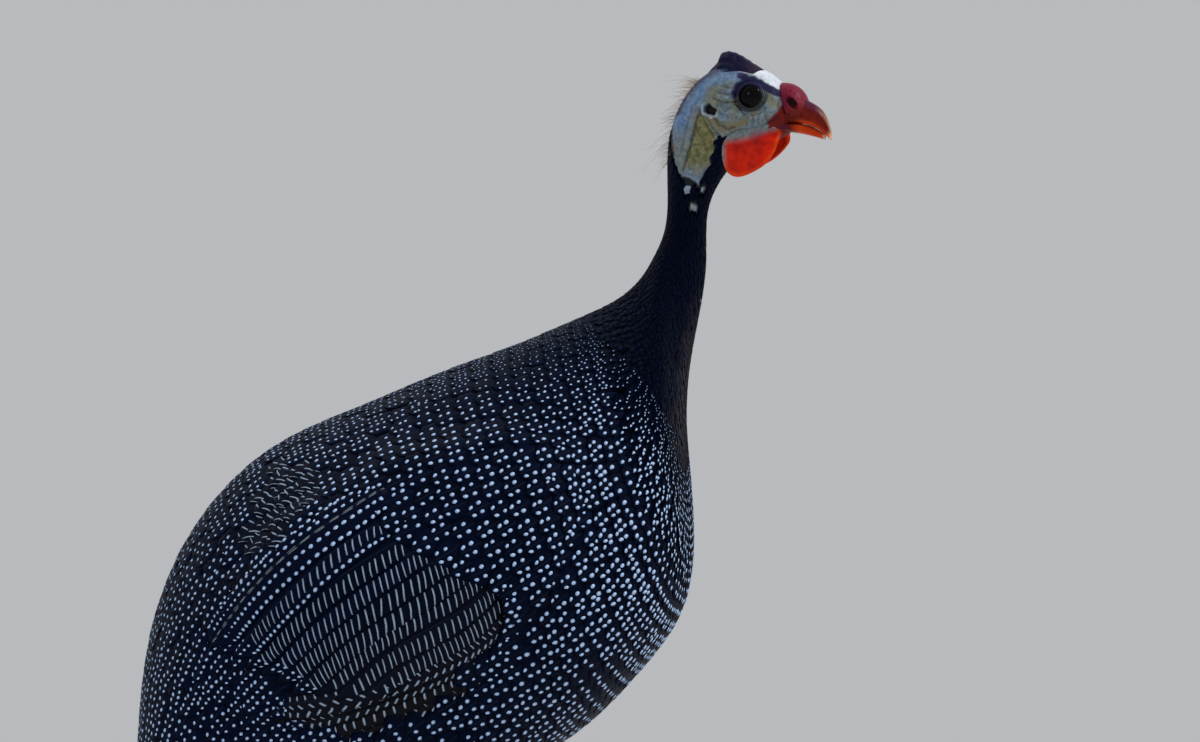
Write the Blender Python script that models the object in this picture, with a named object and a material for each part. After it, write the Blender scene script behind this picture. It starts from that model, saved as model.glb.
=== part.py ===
"""A life-size helmeted guinea fowl, standing, as separate solids.

Metres, +Z up. The bird faces +X and its feet rest on Z = 0. One loft runs from the tip of the tail
to the face, through named stations, and is parted by thin cuts. Every other piece is set on it.
"""

import math

import bmesh
import bpy
import numpy as np
from mathutils import Matrix, Vector
from mathutils.bvhtree import BVHTree

MM = 0.001
GAP = 0.3 * MM  # clearance between neighbouring solids
HEAD_TURN = math.radians(-12)  # the head looks a little to the bird's right
NECK_AXIS_X = 130 * MM  # the upright line that the head turns about
BODY_SHIFT_X = -27.79 * MM  # brings the middle of the whole bird, tail to bill, to X = 0

# Station: (upper x, upper z, lower x, lower z, half width, fullness), in millimetres before the shift.
# Upper is on the back, nape or crown, lower on the belly, breast or throat. Fullness is above 0
# where a section is widest near its upper end, and below 0 where it is widest near its lower end.
STATIONS = {
    "tail_tip": (-141, 87, -131, 84, 17, 0.0),
    "tail_middle": (-147.5, 118, -110, 103, 34, 0.0),
    "tail_base": (-148, 158, -82, 112, 46, 0.0),
    "rump": (-139.5, 212, -40, 112, 59, 0.05),
    "loin": (-105.5, 275.5, 6, 113, 70, 0.05),
    "saddle": (-73, 301.5, 28, 123, 75, 0.03),
    "back": (-36, 317.8, 54, 141, 76, 0.0),
    "mantle": (6, 335.2, 82.5, 162, 75, -0.05),
    "shoulders": (45, 349.5, 107, 187.5, 69, -0.13),
    "breast": (72.5, 361, 124.8, 212.5, 58, -0.2),
    "neck_root": (94.5, 371.5, 131.2, 241, 46, -0.3),
    "collar": (112, 391, 128, 290, 32, -0.36),
    "lower_neck": (118.3, 406, 130.8, 342, 17, -0.25),
    "upper_neck": (119.8, 419, 138.8, 391, 11.2, -0.05),
    "neck_top": (119.6, 431, 141.6, 421, 10.4, 0.0),
    "nape": (120.4, 450, 152, 437, 12.6, 0.08),
    "occiput": (127, 469.5, 163, 444.5, 14.6, 0.16),
    "crown": (141.5, 484.5, 173, 448.5, 15.2, 0.2),
    "brow": (165.5, 488, 180, 451.5, 13.2, 0.16),
    "face_front": (179.5, 479.3, 185.4, 454.6, 8.2, 0.1),
}
STATION_NAMES = list(STATIONS)
STATION_ROWS = np.array(list(STATIONS.values()), float)

# Upper and lower edge of the folded wing seen from the side, front to tip: (x, z) in millimetres.
WING_UPPER = np.array([(90, 300), (48, 318), (-15, 306), (-68, 270), (-101, 228), (-112, 197)], float)
WING_LOWER = np.array([(90, 270), (72, 222), (27, 181), (-32, 160), (-78, 156), (-108, 177)], float)
WING_SWELL = 7.5 * MM  # how far the folded wing stands out from the flank at its thickest
WING_EDGE = 1.2 * MM
WING_SINK = 3 * MM  # the pad starts this deep in the flank, and is cut to it

EYE_RADIUS = 7.0 * MM
EYE_PLACE = (167.0, 8.7, 472.0)
WATTLE_PLACE = (167.3, 11.0, 444.3)
WATTLE_HALF = (17.0, 1.6, 10.3)  # along the jaw, through, and down
WATTLE_TAPER = 0.3  # its front end is this much lower than its middle, and its rear end higher
WATTLE_PITCH = math.radians(-30)  # its front end is the higher one
WATTLE_SPLAY = math.radians(9)  # its lower edge stands out from the throat

# Helmet: (x, top z, half width), back to front. Its base is sunk in the crown and cut to it.
HELMET = ((141.0, 485.4, 1.6), (144.0, 488.0, 4.6), (146.8, 492.8, 6.4), (150.6, 495.0, 7.0),
          (155.5, 494.0, 6.9), (160.5, 490.8, 6.0), (165.5, 488.9, 4.2), (169.0, 487.9, 2.0))
HELMET_BASE_Z = 479.0
HELMET_FULLNESS = -0.4  # narrower at the top than at the crown
# Cere, horny upper bill and lower bill, back to front: (upper x, upper z, lower x, lower z, half width).
CERE = ((180.0, 478.9, 184.9, 459.0, 8.0), (185.2, 478.2, 187.4, 458.7, 8.2),
        (190.0, 475.0, 190.2, 458.6, 7.4), (192.6, 470.4, 192.2, 458.4, 6.3))
UPPER_BILL = ((193.1, 470.0, 192.6, 458.1, 6.2), (198.6, 466.8, 197.0, 456.6, 5.0),
              (202.8, 461.8, 201.0, 454.3, 3.6), (205.2, 455.2, 203.9, 451.6, 1.9),
              (205.9, 450.8, 205.3, 450.1, 0.6))
LOWER_BILL = ((184.9, 458.5, 186.0, 454.6, 6.4), (190.6, 458.1, 191.0, 453.4, 5.3),
              (196.2, 456.4, 196.4, 452.0, 3.8), (200.4, 454.1, 200.5, 450.9, 2.0),
              (202.4, 452.4, 202.3, 450.3, 0.9))

HIP = (27, 22, 172)
THIGH = (19, 29, 146)
KNEE = (9, 32, 124)
HOCK = (-16, 32, 88)
ANKLE = (2, 33, 12)
THIGH_RADII = (11, 23.5, 20.5, 7.2)
FEATHER_END = 0.86  # how far down from knee to hock the feathered part reaches
SHANK_SHARES = (0.16, 0.5, 0.85, 0.98)  # where its sections lie between hock and ankle
SHANK_RADII = (6.0, 6.6, 4.7, 3.9, 4.1, 5.6)  # from the feathers' end down
SHANK_FLATTEN = 0.84  # the shank is narrower across than from front to back
PAD_HEIGHTS = (8.0, 3.4, 0.0)
PAD_RADII = (7.6, 7.6, 6.2)
# Toe: (name, angle outwards from straight ahead, length, base half width, base height).
TOES = (("inner", -36, 33, 2.5, 6.2), ("middle", 4, 47, 2.65, 6.8), ("outer", 44, 36, 2.5, 6.2),
        ("hind", 172, 13, 2.4, 5.6))
TOE_SECTIONS = 9
TOE_TAPER = 0.34
TOE_SWELL = 0.1  # the joints are this much thicker
TOE_JOINTS = 2.5
TOE_END = 0.65
TOE_CLEAR = 0.6  # from the foot pad
# Claw: (share of its length, thickness as a share of its base's, top as a share of the toe's height).
CLAW_SECTIONS = ((0.0, 1.0, 0.62), (0.35, 0.84, 0.57), (0.7, 0.52, 0.41), (1.0, 0.16, 0.22))
CLAW_DEPTH = 0.5  # as a share of the toe's height
CLAW_CLEAR = 0.04  # the claw hangs this share of the toe's height above the floor
CLAW_LENGTH = {"inner": 9, "middle": 10.5, "outer": 9, "hind": 8}

COLOURS = {
    "plumage": ((0.035, 0.037, 0.05), 0.65),
    "neck": ((0.03, 0.03, 0.045), 0.7),
    "face": ((0.55, 0.63, 0.68), 0.5),
    "helmet": ((0.11, 0.09, 0.12), 0.4),
    "cere": ((0.42, 0.05, 0.04), 0.4),
    "bill": ((0.45, 0.2, 0.1), 0.35),
    "wattle": ((0.75, 0.07, 0.02), 0.4),
    "eye": ((0.02, 0.015, 0.012), 0.08),
    "leg": ((0.09, 0.085, 0.085), 0.5),
    "claw": ((0.06, 0.05, 0.045), 0.35),
}


def clear_scene():
    for obj in list(bpy.data.objects):
        bpy.data.objects.remove(obj)


def material(name):
    found = bpy.data.materials.get(name)
    if found:
        return found
    colour, roughness = COLOURS[name]
    made = bpy.data.materials.new(name)
    made.use_nodes = True
    shader = made.node_tree.nodes["Principled BSDF"]
    shader.inputs["Base Color"].default_value = (*colour, 1)
    shader.inputs["Roughness"].default_value = roughness
    return made


def cubic_through(places, values, at):
    """Values of the natural cubic spline through (places, values), where values may have columns."""
    step = np.diff(places)
    slope = np.diff(values, axis=0) / step[:, None]
    count = len(places)
    system = np.eye(count)
    wanted = np.zeros_like(values)
    for i in range(1, count - 1):
        system[i, i - 1: i + 2] = step[i - 1], 2 * (step[i - 1] + step[i]), step[i]
        wanted[i] = 6 * (slope[i] - slope[i - 1])
    bend = np.linalg.solve(system, wanted)
    i = np.clip(np.searchsorted(places, at, side="right") - 1, 0, count - 2)
    h = step[i][:, None]
    a = ((places[i + 1] - at) / step[i])[:, None]
    b = 1 - a
    return a * values[i] + b * values[i + 1] + ((a**3 - a) * bend[i] + (b**3 - b) * bend[i + 1]) * h**2 / 6


def spline_places():
    """Where each station lies along the loft: the larger of the two outlines' steps, added up."""
    upper = np.linalg.norm(np.diff(STATION_ROWS[:, 0:2], axis=0), axis=1)
    lower = np.linalg.norm(np.diff(STATION_ROWS[:, 2:4], axis=0), axis=1)
    return np.concatenate([[0], np.cumsum(np.maximum(upper, lower))])


PLACES = spline_places()


def place_of(station):
    return PLACES[STATION_NAMES.index(station)]


def turned(points, share=1.0):
    """Points turned about the neck's upright axis by a share of the head's turn, then shifted."""
    angle = HEAD_TURN * np.asarray(share)
    x, y = points[..., 0] - NECK_AXIS_X, points[..., 1]
    cos, sin = np.cos(angle), np.sin(angle)
    moved = np.stack([x * cos - y * sin + NECK_AXIS_X, x * sin + y * cos, points[..., 2]], -1)
    return moved + (BODY_SHIFT_X, 0, 0)


def sections(rows, around, squareness=1.0):
    """Rings of points, one for each row (upper x, z, lower x, z, half width, fullness) in millimetres."""
    rows = np.asarray(rows, float) * np.array([MM] * 5 + [1.0])[: np.shape(rows)[1]]
    full = rows[:, 5:6] if rows.shape[1] > 5 else np.zeros((len(rows), 1))
    angle = 2 * np.pi * np.arange(around) / around
    up = np.sign(np.cos(angle)) * np.abs(np.cos(angle)) ** squareness
    side = np.sign(np.sin(angle)) * np.abs(np.sin(angle)) ** squareness
    x = (rows[:, 0:1] + rows[:, 2:3]) / 2 + (rows[:, 0:1] - rows[:, 2:3]) / 2 * up
    z = (rows[:, 1:2] + rows[:, 3:4]) / 2 + (rows[:, 1:2] - rows[:, 3:4]) / 2 * up
    y = rows[:, 4:5] * side * (1 + full * up)
    return np.stack([x, y, z], -1)


def mesh_object(name, points, faces, finish):
    mesh = bpy.data.meshes.new(name)
    mesh.from_pydata([tuple(p) for p in points], [], faces)
    shaper = bmesh.new()
    shaper.from_mesh(mesh)
    bmesh.ops.recalc_face_normals(shaper, faces=shaper.faces)
    shaper.to_mesh(mesh)
    shaper.free()
    mesh.shade_smooth()
    obj = bpy.data.objects.new(name, mesh)
    obj.data.materials.append(material(finish))
    bpy.context.scene.collection.objects.link(obj)
    return obj


def tube(name, rings, finish):
    """A closed solid through rings of equal length, with a flat cap at each end."""
    count, around = len(rings), len(rings[0])
    faces = []
    for i in range(count - 1):
        for j in range(around):
            k = (j + 1) % around
            faces.append((i * around + j, i * around + k, (i + 1) * around + k, (i + 1) * around + j))
    faces.append(tuple(range(around)))
    faces.append(tuple((count - 1) * around + j for j in reversed(range(around))))
    return mesh_object(name, np.reshape(rings, (-1, 3)), faces, finish)


def loft(name, first, last, count, around, finish):
    """One length of the bird's main loft, between two stations, drawn back half a gap at each cut."""
    at = np.linspace(place_of(first), place_of(last), count)
    rings = sections(cubic_through(PLACES, STATION_ROWS, at), around)
    middle = rings.mean(1)
    for end, inward in ((0, 1), (-1, -2)):
        ring = rings[end]
        normal = np.cross(ring[around // 4] - ring[0], ring[around // 2] - ring[0])
        normal /= np.linalg.norm(normal)
        towards = np.sign(normal @ (middle[inward] - middle[end]))
        rings[end] = ring + normal * towards * GAP * 0.5
    start, stop = place_of("collar"), place_of("nape")
    share = np.clip((at - start) / (stop - start), 0, 1)
    share = share * share * (3 - 2 * share)
    return tube(name, turned(rings, share[:, None]), finish)


def cutter_of(obj, clearance, name):
    """A hidden copy of a solid, swollen by the clearance, for a Boolean to take away."""
    cutter = bpy.data.objects.new(name, obj.data.copy())
    bpy.context.scene.collection.objects.link(cutter)
    shaper = bmesh.new()
    shaper.from_mesh(cutter.data)
    shaper.normal_update()
    offsets = [vertex.normal * clearance for vertex in shaper.verts]
    for vertex, offset in zip(shaper.verts, offsets):
        vertex.co += offset
    shaper.to_mesh(cutter.data)
    shaper.free()
    cutter.hide_render = True
    cutter.display_type = "WIRE"
    return cutter


def cut(obj, cutter):
    modifier = obj.modifiers.new("clear_of_" + cutter.name, "BOOLEAN")
    modifier.operation = "DIFFERENCE"
    modifier.solver = "EXACT"
    modifier.object = cutter


def ball(name, place, radii, finish, pitch=0.0, splay=0.0, taper=0.0, segments=14, rings=9):
    """An ellipsoid in the head's frame, pitched about Y, splayed about X, then turned with the head."""
    mesh = bpy.data.meshes.new(name)
    shaper = bmesh.new()
    bmesh.ops.create_uvsphere(shaper, u_segments=segments, v_segments=rings, radius=1.0)
    bmesh.ops.rotate(shaper, verts=shaper.verts, matrix=Matrix.Rotation(math.pi / 2, 3, "X"))
    for vertex in shaper.verts:
        vertex.co.z *= 1 - taper * vertex.co.x
    bmesh.ops.scale(shaper, verts=shaper.verts, vec=Vector(radii))
    bmesh.ops.rotate(shaper, verts=shaper.verts, matrix=Matrix.Rotation(pitch, 3, "Y"))
    bmesh.ops.rotate(shaper, verts=shaper.verts, matrix=Matrix.Rotation(splay, 3, "X"))
    bmesh.ops.translate(shaper, verts=shaper.verts, vec=Vector(place))
    points = turned(np.array([vertex.co for vertex in shaper.verts]))
    for vertex, point in zip(shaper.verts, points):
        vertex.co = point
    shaper.to_mesh(mesh)
    shaper.free()
    mesh.shade_smooth()
    mesh.materials.append(material(finish))
    obj = bpy.data.objects.new(name, mesh)
    bpy.context.scene.collection.objects.link(obj)
    return obj


def make_body():
    loft("tail", "tail_tip", "tail_base", 8, 24, "plumage")
    trunk = loft("trunk", "tail_base", "collar", 31, 28, "plumage")
    loft("neck_lower", "collar", "upper_neck", 9, 22, "neck")
    loft("neck_upper", "upper_neck", "nape", 7, 22, "neck")
    head = loft("head", "nape", "face_front", 14, 26, "face")
    return trunk, head


def make_head_pieces(head):
    crown = cutter_of(head, GAP, "head_clear")
    sides = (("left", 1), ("right", -1))
    for side, sign in sides:
        x, y, z = (c * MM for c in EYE_PLACE)
        eye = ball("eye_" + side, (x, sign * y, z), [EYE_RADIUS] * 3, "eye", rings=10)
        cut(head, cutter_of(eye, GAP, "socket_" + side))
        x, y, z = (c * MM for c in WATTLE_PLACE)
        wattle = ball("wattle_" + side, (x, sign * y, z), [c * MM for c in WATTLE_HALF], "wattle",
                      WATTLE_PITCH, sign * WATTLE_SPLAY, WATTLE_TAPER, segments=16)
        cut(wattle, crown)
    rows = [(x, top, x, HELMET_BASE_Z, half, HELMET_FULLNESS) for x, top, half in HELMET]
    helmet = tube("helmet", turned(sections(rows, 14)), "helmet")
    cut(helmet, crown)
    tube("cere", turned(sections(CERE, 16, 0.8)), "cere")
    tube("bill_upper", turned(sections(UPPER_BILL, 16, 0.8)), "bill")
    tube("bill_lower", turned(sections(LOWER_BILL, 14, 0.8)), "bill")


def make_wing(side, sign, flank, trunk_clear):
    """A folded wing: a pad that follows the flank, thickest along its middle and thin at its edges."""
    along, across = 16, 9
    u = np.linspace(0, 1, along)
    upper = cubic_through(np.linspace(0, 1, len(WING_UPPER)), WING_UPPER, u) * MM
    lower = cubic_through(np.linspace(0, 1, len(WING_LOWER)), WING_LOWER, u) * MM
    v = np.linspace(0, 1, across)[:, None]
    inner, outer = [], []
    for i in range(along):
        line = lower[i] + (upper[i] - lower[i]) * v
        swell = np.sin(np.pi * v[:, 0]) ** 0.6 * np.sin(np.pi * min(0.12 + u[i], 1.0)) ** 0.5
        for (x, z), rise in zip(line, swell):
            start = Vector((x + BODY_SHIFT_X, sign * 0.3, z))
            hit, normal, _, _ = flank.ray_cast(start, Vector((0, -sign, 0)))
            inner.append(hit - normal * WING_SINK)
            outer.append(hit + normal * (GAP + WING_EDGE + WING_SWELL * rise))
    size = along * across
    faces = []
    for i in range(along - 1):
        for j in range(across - 1):
            a = i * across + j
            quad = (a, a + 1, a + across + 1, a + across)
            faces.append(quad)
            faces.append(tuple(size + c for c in reversed(quad)))
    rim = list(range(across))
    rim += [i * across + across - 1 for i in range(1, along)]
    rim += [(along - 1) * across + j for j in reversed(range(across - 1))]
    rim += [i * across for i in reversed(range(1, along - 1))]
    for a, b in zip(rim, rim[1:] + rim[:1]):
        faces.append((b, a, size + a, size + b))
    wing = mesh_object("wing_" + side, inner + outer, faces, "plumage")
    cut(wing, trunk_clear)


def limb(name, points, radii, around, finish, flatten=1.0):
    """A tapered limb through points in the X-Z plane of its own side, with round sections."""
    points = np.array(points, float) * MM
    along = np.gradient(points, axis=0)
    along /= np.linalg.norm(along, axis=1)[:, None]
    sideways = np.array((0.0, 1.0, 0.0))
    ahead = np.cross(sideways, along)
    ahead /= np.linalg.norm(ahead, axis=1)[:, None]
    across = np.cross(along, ahead)
    angle = 2 * np.pi * np.arange(around) / around
    radii = np.array(radii, float)[:, None, None] * MM
    rings = points[:, None] + radii * (
        ahead[:, None] * np.cos(angle)[:, None] + flatten * across[:, None] * np.sin(angle)[:, None])
    return tube(name, rings + (BODY_SHIFT_X, 0, 0), finish)


def between(a, b, shares):
    a, b = np.array(a, float), np.array(b, float)
    return [tuple(a + (b - a) * share) for share in shares]


def make_leg(side, sign, trunk_clear):
    """Feathered thigh, scaly shank with its foot pad, four toes and their claws."""
    hip, thigh, knee, hock, ankle = (np.array(p) * (1, sign, 1) for p in (HIP, THIGH, KNEE, HOCK, ANKLE))
    drum = between(knee, hock, (0.35, 0.7, FEATHER_END))
    radii = list(THIGH_RADII[:3])
    radii += [radii[2] + (THIGH_RADII[3] - radii[2]) * share for share in (0.4, 0.8, 1.0)]
    thigh = limb("thigh_" + side, [tuple(hip), tuple(thigh), tuple(knee), *drum], radii, 16, "plumage")
    cut(thigh, trunk_clear)

    bare = FEATHER_END + GAP / MM / np.linalg.norm(knee - hock)
    points = between(knee, hock, (bare, 1.0)) + between(hock, ankle, SHANK_SHARES)
    points += [(ankle[0], ankle[1], height) for height in PAD_HEIGHTS]
    limb("shank_" + side, points, SHANK_RADII + PAD_RADII, 12, "leg", SHANK_FLATTEN)

    for toe, angle_out, length, half, height in TOES:
        make_toe(f"{toe}_{side}", ankle, sign * math.radians(angle_out), length, half, height, CLAW_LENGTH[toe])


def toe_ring(place, ahead, half, bottom, height):
    """One section of a toe: a flat sole, round sides and a round top. Sizes in millimetres."""
    profile = ((-0.55, 0.0), (0.55, 0.0), (1.0, 0.34), (0.88, 0.74), (0.0, 1.0), (-0.88, 0.74), (-1.0, 0.34))
    beside = np.array((-ahead[1], ahead[0]))
    ring = []
    for across, up in profile:
        x, y = place + beside * across * half
        ring.append((x * MM + BODY_SHIFT_X, y * MM, (bottom + up * (height - bottom)) * MM))
    return ring


def make_toe(name, ankle, angle, length, half, height, claw):
    """A toe with swollen joints, flat on the floor, and its claw, which arches down in front of it."""
    ahead = np.array((math.cos(angle), math.sin(angle)))
    start = np.array(ankle[:2], float) + ahead * (PAD_RADII[0] + TOE_CLEAR)
    rings = []
    for i in range(TOE_SECTIONS):
        share = i / (TOE_SECTIONS - 1)
        size = (1 - TOE_TAPER * share) * (1 + TOE_SWELL * math.cos(2 * math.pi * TOE_JOINTS * share))
        if share == 1:
            size *= TOE_END
        rings.append(toe_ring(start + ahead * length * share, ahead, half * size, 0.0, height * size))
    tube("toe_" + name, rings, "leg")
    tip = start + ahead * (length + GAP / MM)
    rings = []
    for share, thick, top in CLAW_SECTIONS:
        bottom = max(top - CLAW_DEPTH * thick, CLAW_CLEAR) * height
        rings.append(toe_ring(tip + ahead * claw * share, ahead, half * 0.5 * thick, bottom, height * top))
    tube("claw_" + name, rings, "claw")


def main():
    clear_scene()
    trunk, head = make_body()
    make_head_pieces(head)
    shaper = bmesh.new()
    shaper.from_mesh(trunk.data)
    flank = BVHTree.FromBMesh(shaper)
    trunk_clear = cutter_of(trunk, GAP, "trunk_clear")
    for side, sign in (("left", 1), ("right", -1)):
        make_wing(side, sign, flank, trunk_clear)
        make_leg(side, sign, trunk_clear)
    shaper.free()


main()
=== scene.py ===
"""A life-size helmeted guinea fowl: one skin, its feathers, and its bare head, bill and feet.

Shapes are worked out in millimetres, in the bird's own frame, as whole arrays. A point on the bird is
given by its place along the loft from tail to face and by an angle round it, 0 on the back and nape.
Sideways is +Y to the bird's left. Meshes are in metres, and every piece rides on the one body, root.
"""

from functools import partial
from itertools import product
from math import atan2, cos, pi, radians, sin, tau

import bpy
import numpy as np
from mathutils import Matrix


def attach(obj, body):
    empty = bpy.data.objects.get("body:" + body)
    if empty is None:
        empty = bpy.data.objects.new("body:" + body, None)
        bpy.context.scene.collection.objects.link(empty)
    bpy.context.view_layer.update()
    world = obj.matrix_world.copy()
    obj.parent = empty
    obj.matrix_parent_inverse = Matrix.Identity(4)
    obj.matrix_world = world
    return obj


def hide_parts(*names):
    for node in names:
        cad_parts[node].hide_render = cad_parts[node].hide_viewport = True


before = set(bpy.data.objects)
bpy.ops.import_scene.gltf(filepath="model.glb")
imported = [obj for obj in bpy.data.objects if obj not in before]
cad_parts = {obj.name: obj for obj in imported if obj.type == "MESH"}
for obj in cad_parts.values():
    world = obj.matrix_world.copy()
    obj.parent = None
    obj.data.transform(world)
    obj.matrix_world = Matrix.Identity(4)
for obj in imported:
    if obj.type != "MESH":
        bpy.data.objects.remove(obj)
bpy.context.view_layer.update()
MM = 0.001
HEAD_TURN = radians(-12)
NECK_AXIS_X = 130.0
BODY_SHIFT = np.array((-27.79, 0.0, 0.0))
SIDES = (("left", 1), ("right", -1))

# Station: (upper x, upper z, lower x, lower z, half width, fullness, coat depth).
STATIONS = {
    "tail_end": (-139.2, 85.4, -134.0, 85, 7.5, 0.0, 0.4),
    "tail_tip": (-143.3, 96, -126, 90, 19, 0.0, 1.5),
    "tail_middle": (-147.5, 118, -110, 103, 34, 0.0, 3.0),
    "tail_base": (-147.5, 158, -82, 112, 46, 0.0, 4.0),
    "rump": (-139.5, 212, -40, 112, 59, 0.05, 4.5),
    "loin": (-105.5, 275.5, 6, 113, 70, 0.05, 4.5),
    "saddle": (-73, 301.5, 28, 123, 75, 0.03, 4.5),
    "back": (-36, 317.8, 54, 141, 76, 0.0, 4.5),
    "mantle": (6, 335.2, 82.5, 162, 75, -0.05, 4.5),
    "shoulders": (45, 349.5, 107, 187.5, 69, -0.13, 4.2),
    "breast": (72.5, 361, 124.8, 212.5, 58, -0.2, 4.0),
    "neck_root": (94.5, 371.5, 131.2, 241, 46, -0.3, 3.4),
    "collar": (112, 391, 128, 290, 32, -0.36, 2.6),
    "lower_neck": (118.3, 406, 130.8, 342, 17, -0.25, 1.8),
    "upper_neck": (119.8, 419, 138.8, 391, 11.2, -0.05, 1.2),
    "neck_top": (119.6, 431, 141.6, 421, 10.4, 0.0, 0.9),
    "nape": (120.4, 450, 152, 437, 12.6, 0.08, 0.4),
    "occiput": (127, 469.5, 163, 444.5, 14.6, 0.16, 0.2),
    "crown": (141.5, 484.5, 173, 448.5, 15.2, 0.2, 0.2),
    "brow": (165.5, 488, 180, 451.5, 13.2, 0.16, 0.2),
    "face_front": (179.5, 479.3, 185.4, 454.6, 8.2, 0.1, 0.2),
}
UPPER, LOWER = slice(0, 2), slice(2, 4)
WIDTH, FULLNESS, COAT_DEPTH = 4, 5, 6
NAMES = list(STATIONS)
ROWS = np.array(list(STATIONS.values()), float)
STEPS = [np.linalg.norm(np.diff(ROWS[:, end], axis=0), axis=1) for end in (UPPER, LOWER)]
PLACES = np.concatenate([[0], np.cumsum(np.maximum(*STEPS))])


def place_of(station):
    """Where a station lies along the loft, in millimetres from its tail end."""
    return PLACES[NAMES.index(station)]


def cubic_through(places, values, at):
    """Values of the natural cubic spline through (places, values), where values may have columns."""
    step = np.diff(places)
    slope = np.diff(values, axis=0) / step[:, None]
    count = len(places)
    system = np.eye(count)
    wanted = np.zeros_like(values)
    for i in range(1, count - 1):
        system[i, i - 1: i + 2] = step[i - 1], 2 * (step[i - 1] + step[i]), step[i]
        wanted[i] = 6 * (slope[i] - slope[i - 1])
    bend = np.linalg.solve(system, wanted)
    i = np.clip(np.searchsorted(places, at, side="right") - 1, 0, count - 2)
    h = step[i][:, None]
    a = ((places[i + 1] - at) / step[i])[:, None]
    b = 1 - a
    return a * values[i] + b * values[i + 1] + ((a**3 - a) * bend[i] + (b**3 - b) * bend[i + 1]) * h**2 / 6


def curve_through(points, count):
    """A smooth line of count points through the given ones, which are spread evenly along it."""
    points = np.asarray(points, float)
    return cubic_through(np.linspace(0, 1, len(points)), points, np.linspace(0, 1, count))


def fade(low, high, x):
    """0 below low, 1 above high, smooth between; it falls instead where low is the larger."""
    share = np.clip((np.asarray(x, float) - low) / (high - low), 0, 1)
    return share * share * (3 - 2 * share)


def unit(vectors):
    """The vectors at length one."""
    return vectors / np.maximum(np.linalg.norm(vectors, axis=-1, keepdims=True), 1e-9)


def about_neck(points, angle):
    """Points turned by an angle about the neck's upright line."""
    x, y = points[..., 0] - NECK_AXIS_X, points[..., 1]
    c, s = np.cos(angle), np.sin(angle)
    return np.stack([x * c - y * s + NECK_AXIS_X, x * s + y * c, points[..., 2]], -1)


def turned(points, share=1.0):
    """Points turned by a share of the head's turn, then shifted to where the bird stands."""
    return about_neck(points, HEAD_TURN * np.asarray(share)) + BODY_SHIFT


def unturned(points):
    """The head's own coordinates of finished points: the full turn and the shift taken back."""
    return about_neck(points - BODY_SHIFT, -HEAD_TURN)


def turn_share(place):
    """How much of the head's turn a place along the loft takes: none at the breast, all at the nape."""
    return fade(place_of("collar"), place_of("nape"), place)


def sections(rows, up, across):
    """Slanted sections: each point lies on the line from lower to upper end where up, from -1 to 1, says,
    and across from it to the side."""
    high, low = rows[:, None, UPPER], rows[:, None, LOWER]
    line = (high + low) / 2 + (high - low) / 2 * up[:, None]
    return np.stack([line[..., 0], across, line[..., 1]], -1)


def signed_power(values, power):
    """The power of the values' size, with their sign kept."""
    return np.sign(values) * np.abs(values) ** power


def oval(rows, angle, squareness=1.0):
    """Sections with half the height times cos(angle) and the half width times sin(angle). Fullness
    widens the section towards its upper end. Squareness below 1 makes the corners fuller."""
    up, side = signed_power(np.cos(angle), squareness), signed_power(np.sin(angle), squareness)
    full = rows[:, None, FULLNESS] if rows.shape[1] > FULLNESS else 0
    return sections(rows, up, rows[:, None, WIDTH] * side * (1 + full * up))


# ---------------------------------------------------------------- the coat's surface

# Upper and lower edge of the folded wing as (x, z), from the shoulder back, and how far it stands out.
WING_UPPER = np.array([(90, 300), (48, 318), (-15, 306), (-68, 270), (-101, 228), (-112, 197)], float)
WING_LOWER = np.array([(90, 270), (72, 222), (27, 181), (-32, 160), (-78, 156), (-108, 177)], float)
WING_FRONT, WING_LENGTH = 92, 206
WING_SWELL = 6.7
WING_EDGE = 1.2


def wing_swell(x, z):
    """How far the folded wing lifts the coat: most along the wing's middle, nothing outside it."""
    top = np.interp(x, WING_UPPER[::-1, 0], WING_UPPER[::-1, 1])
    bottom = np.interp(x, WING_LOWER[::-1, 0], WING_LOWER[::-1, 1])
    across = np.clip((z - bottom) / np.maximum(top - bottom, 1), 0, 1)
    along = np.clip((WING_FRONT - x) / WING_LENGTH, 0, 1)
    rise = np.sin(pi * across) ** 0.6 * np.sin(pi * np.clip(0.12 + along, 0, 1)) ** 0.5
    edge = fade(0, 0.07, across) * fade(1, 0.86, across) * fade(0, 0.12, along) * fade(1, 0.95, along)
    return edge * (WING_EDGE + WING_SWELL * rise)


class Surface:
    """A tube of rings with its outward normals, read between its points by share of a cell."""

    def __init__(self, points):
        wide = np.concatenate([points[:, -1:], points, points[:, :1]], 1)
        around = np.gradient(wide, axis=1)[:, 1:-1]
        along = np.gradient(points, axis=0)
        self.normals = unit(np.cross(along, around))
        self.parts = np.concatenate([points, self.normals, along, around], -1)
        self.rows, self.columns = points.shape[:2]

    def at(self, i, j):
        """Point, normal, and the steps of one cell along and around, at grid places (i, j)."""
        i, j = np.clip(i, 0, self.rows - 1.001), np.mod(j, self.columns)
        a, b = np.floor(i).astype(int), np.minimum(np.floor(j).astype(int), self.columns - 1)
        p, q = (i - a)[..., None], (j - b)[..., None]
        after = (b + 1) % self.columns
        mixed = (self.parts[a, b] * (1 - p) + self.parts[a + 1, b] * p) * (1 - q)
        mixed = mixed + (self.parts[a, after] * (1 - p) + self.parts[a + 1, after] * p) * q
        return mixed[..., :3], unit(mixed[..., 3:6]), mixed[..., 6:9], mixed[..., 9:]

    def moved(self, i, j, move):
        """The grid place reached from (i, j) by a small move in millimetres along the surface."""
        _, _, along, around = self.at(i, j)
        aa, bb, ab = (along**2).sum(-1), (around**2).sum(-1), (along * around).sum(-1)
        ma, mb = (move * along).sum(-1), (move * around).sum(-1)
        size = np.maximum(aa * bb - ab**2, 1e-9)
        return i + (ma * bb - mb * ab) / size, j + (mb * aa - ma * ab) / size


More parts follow.
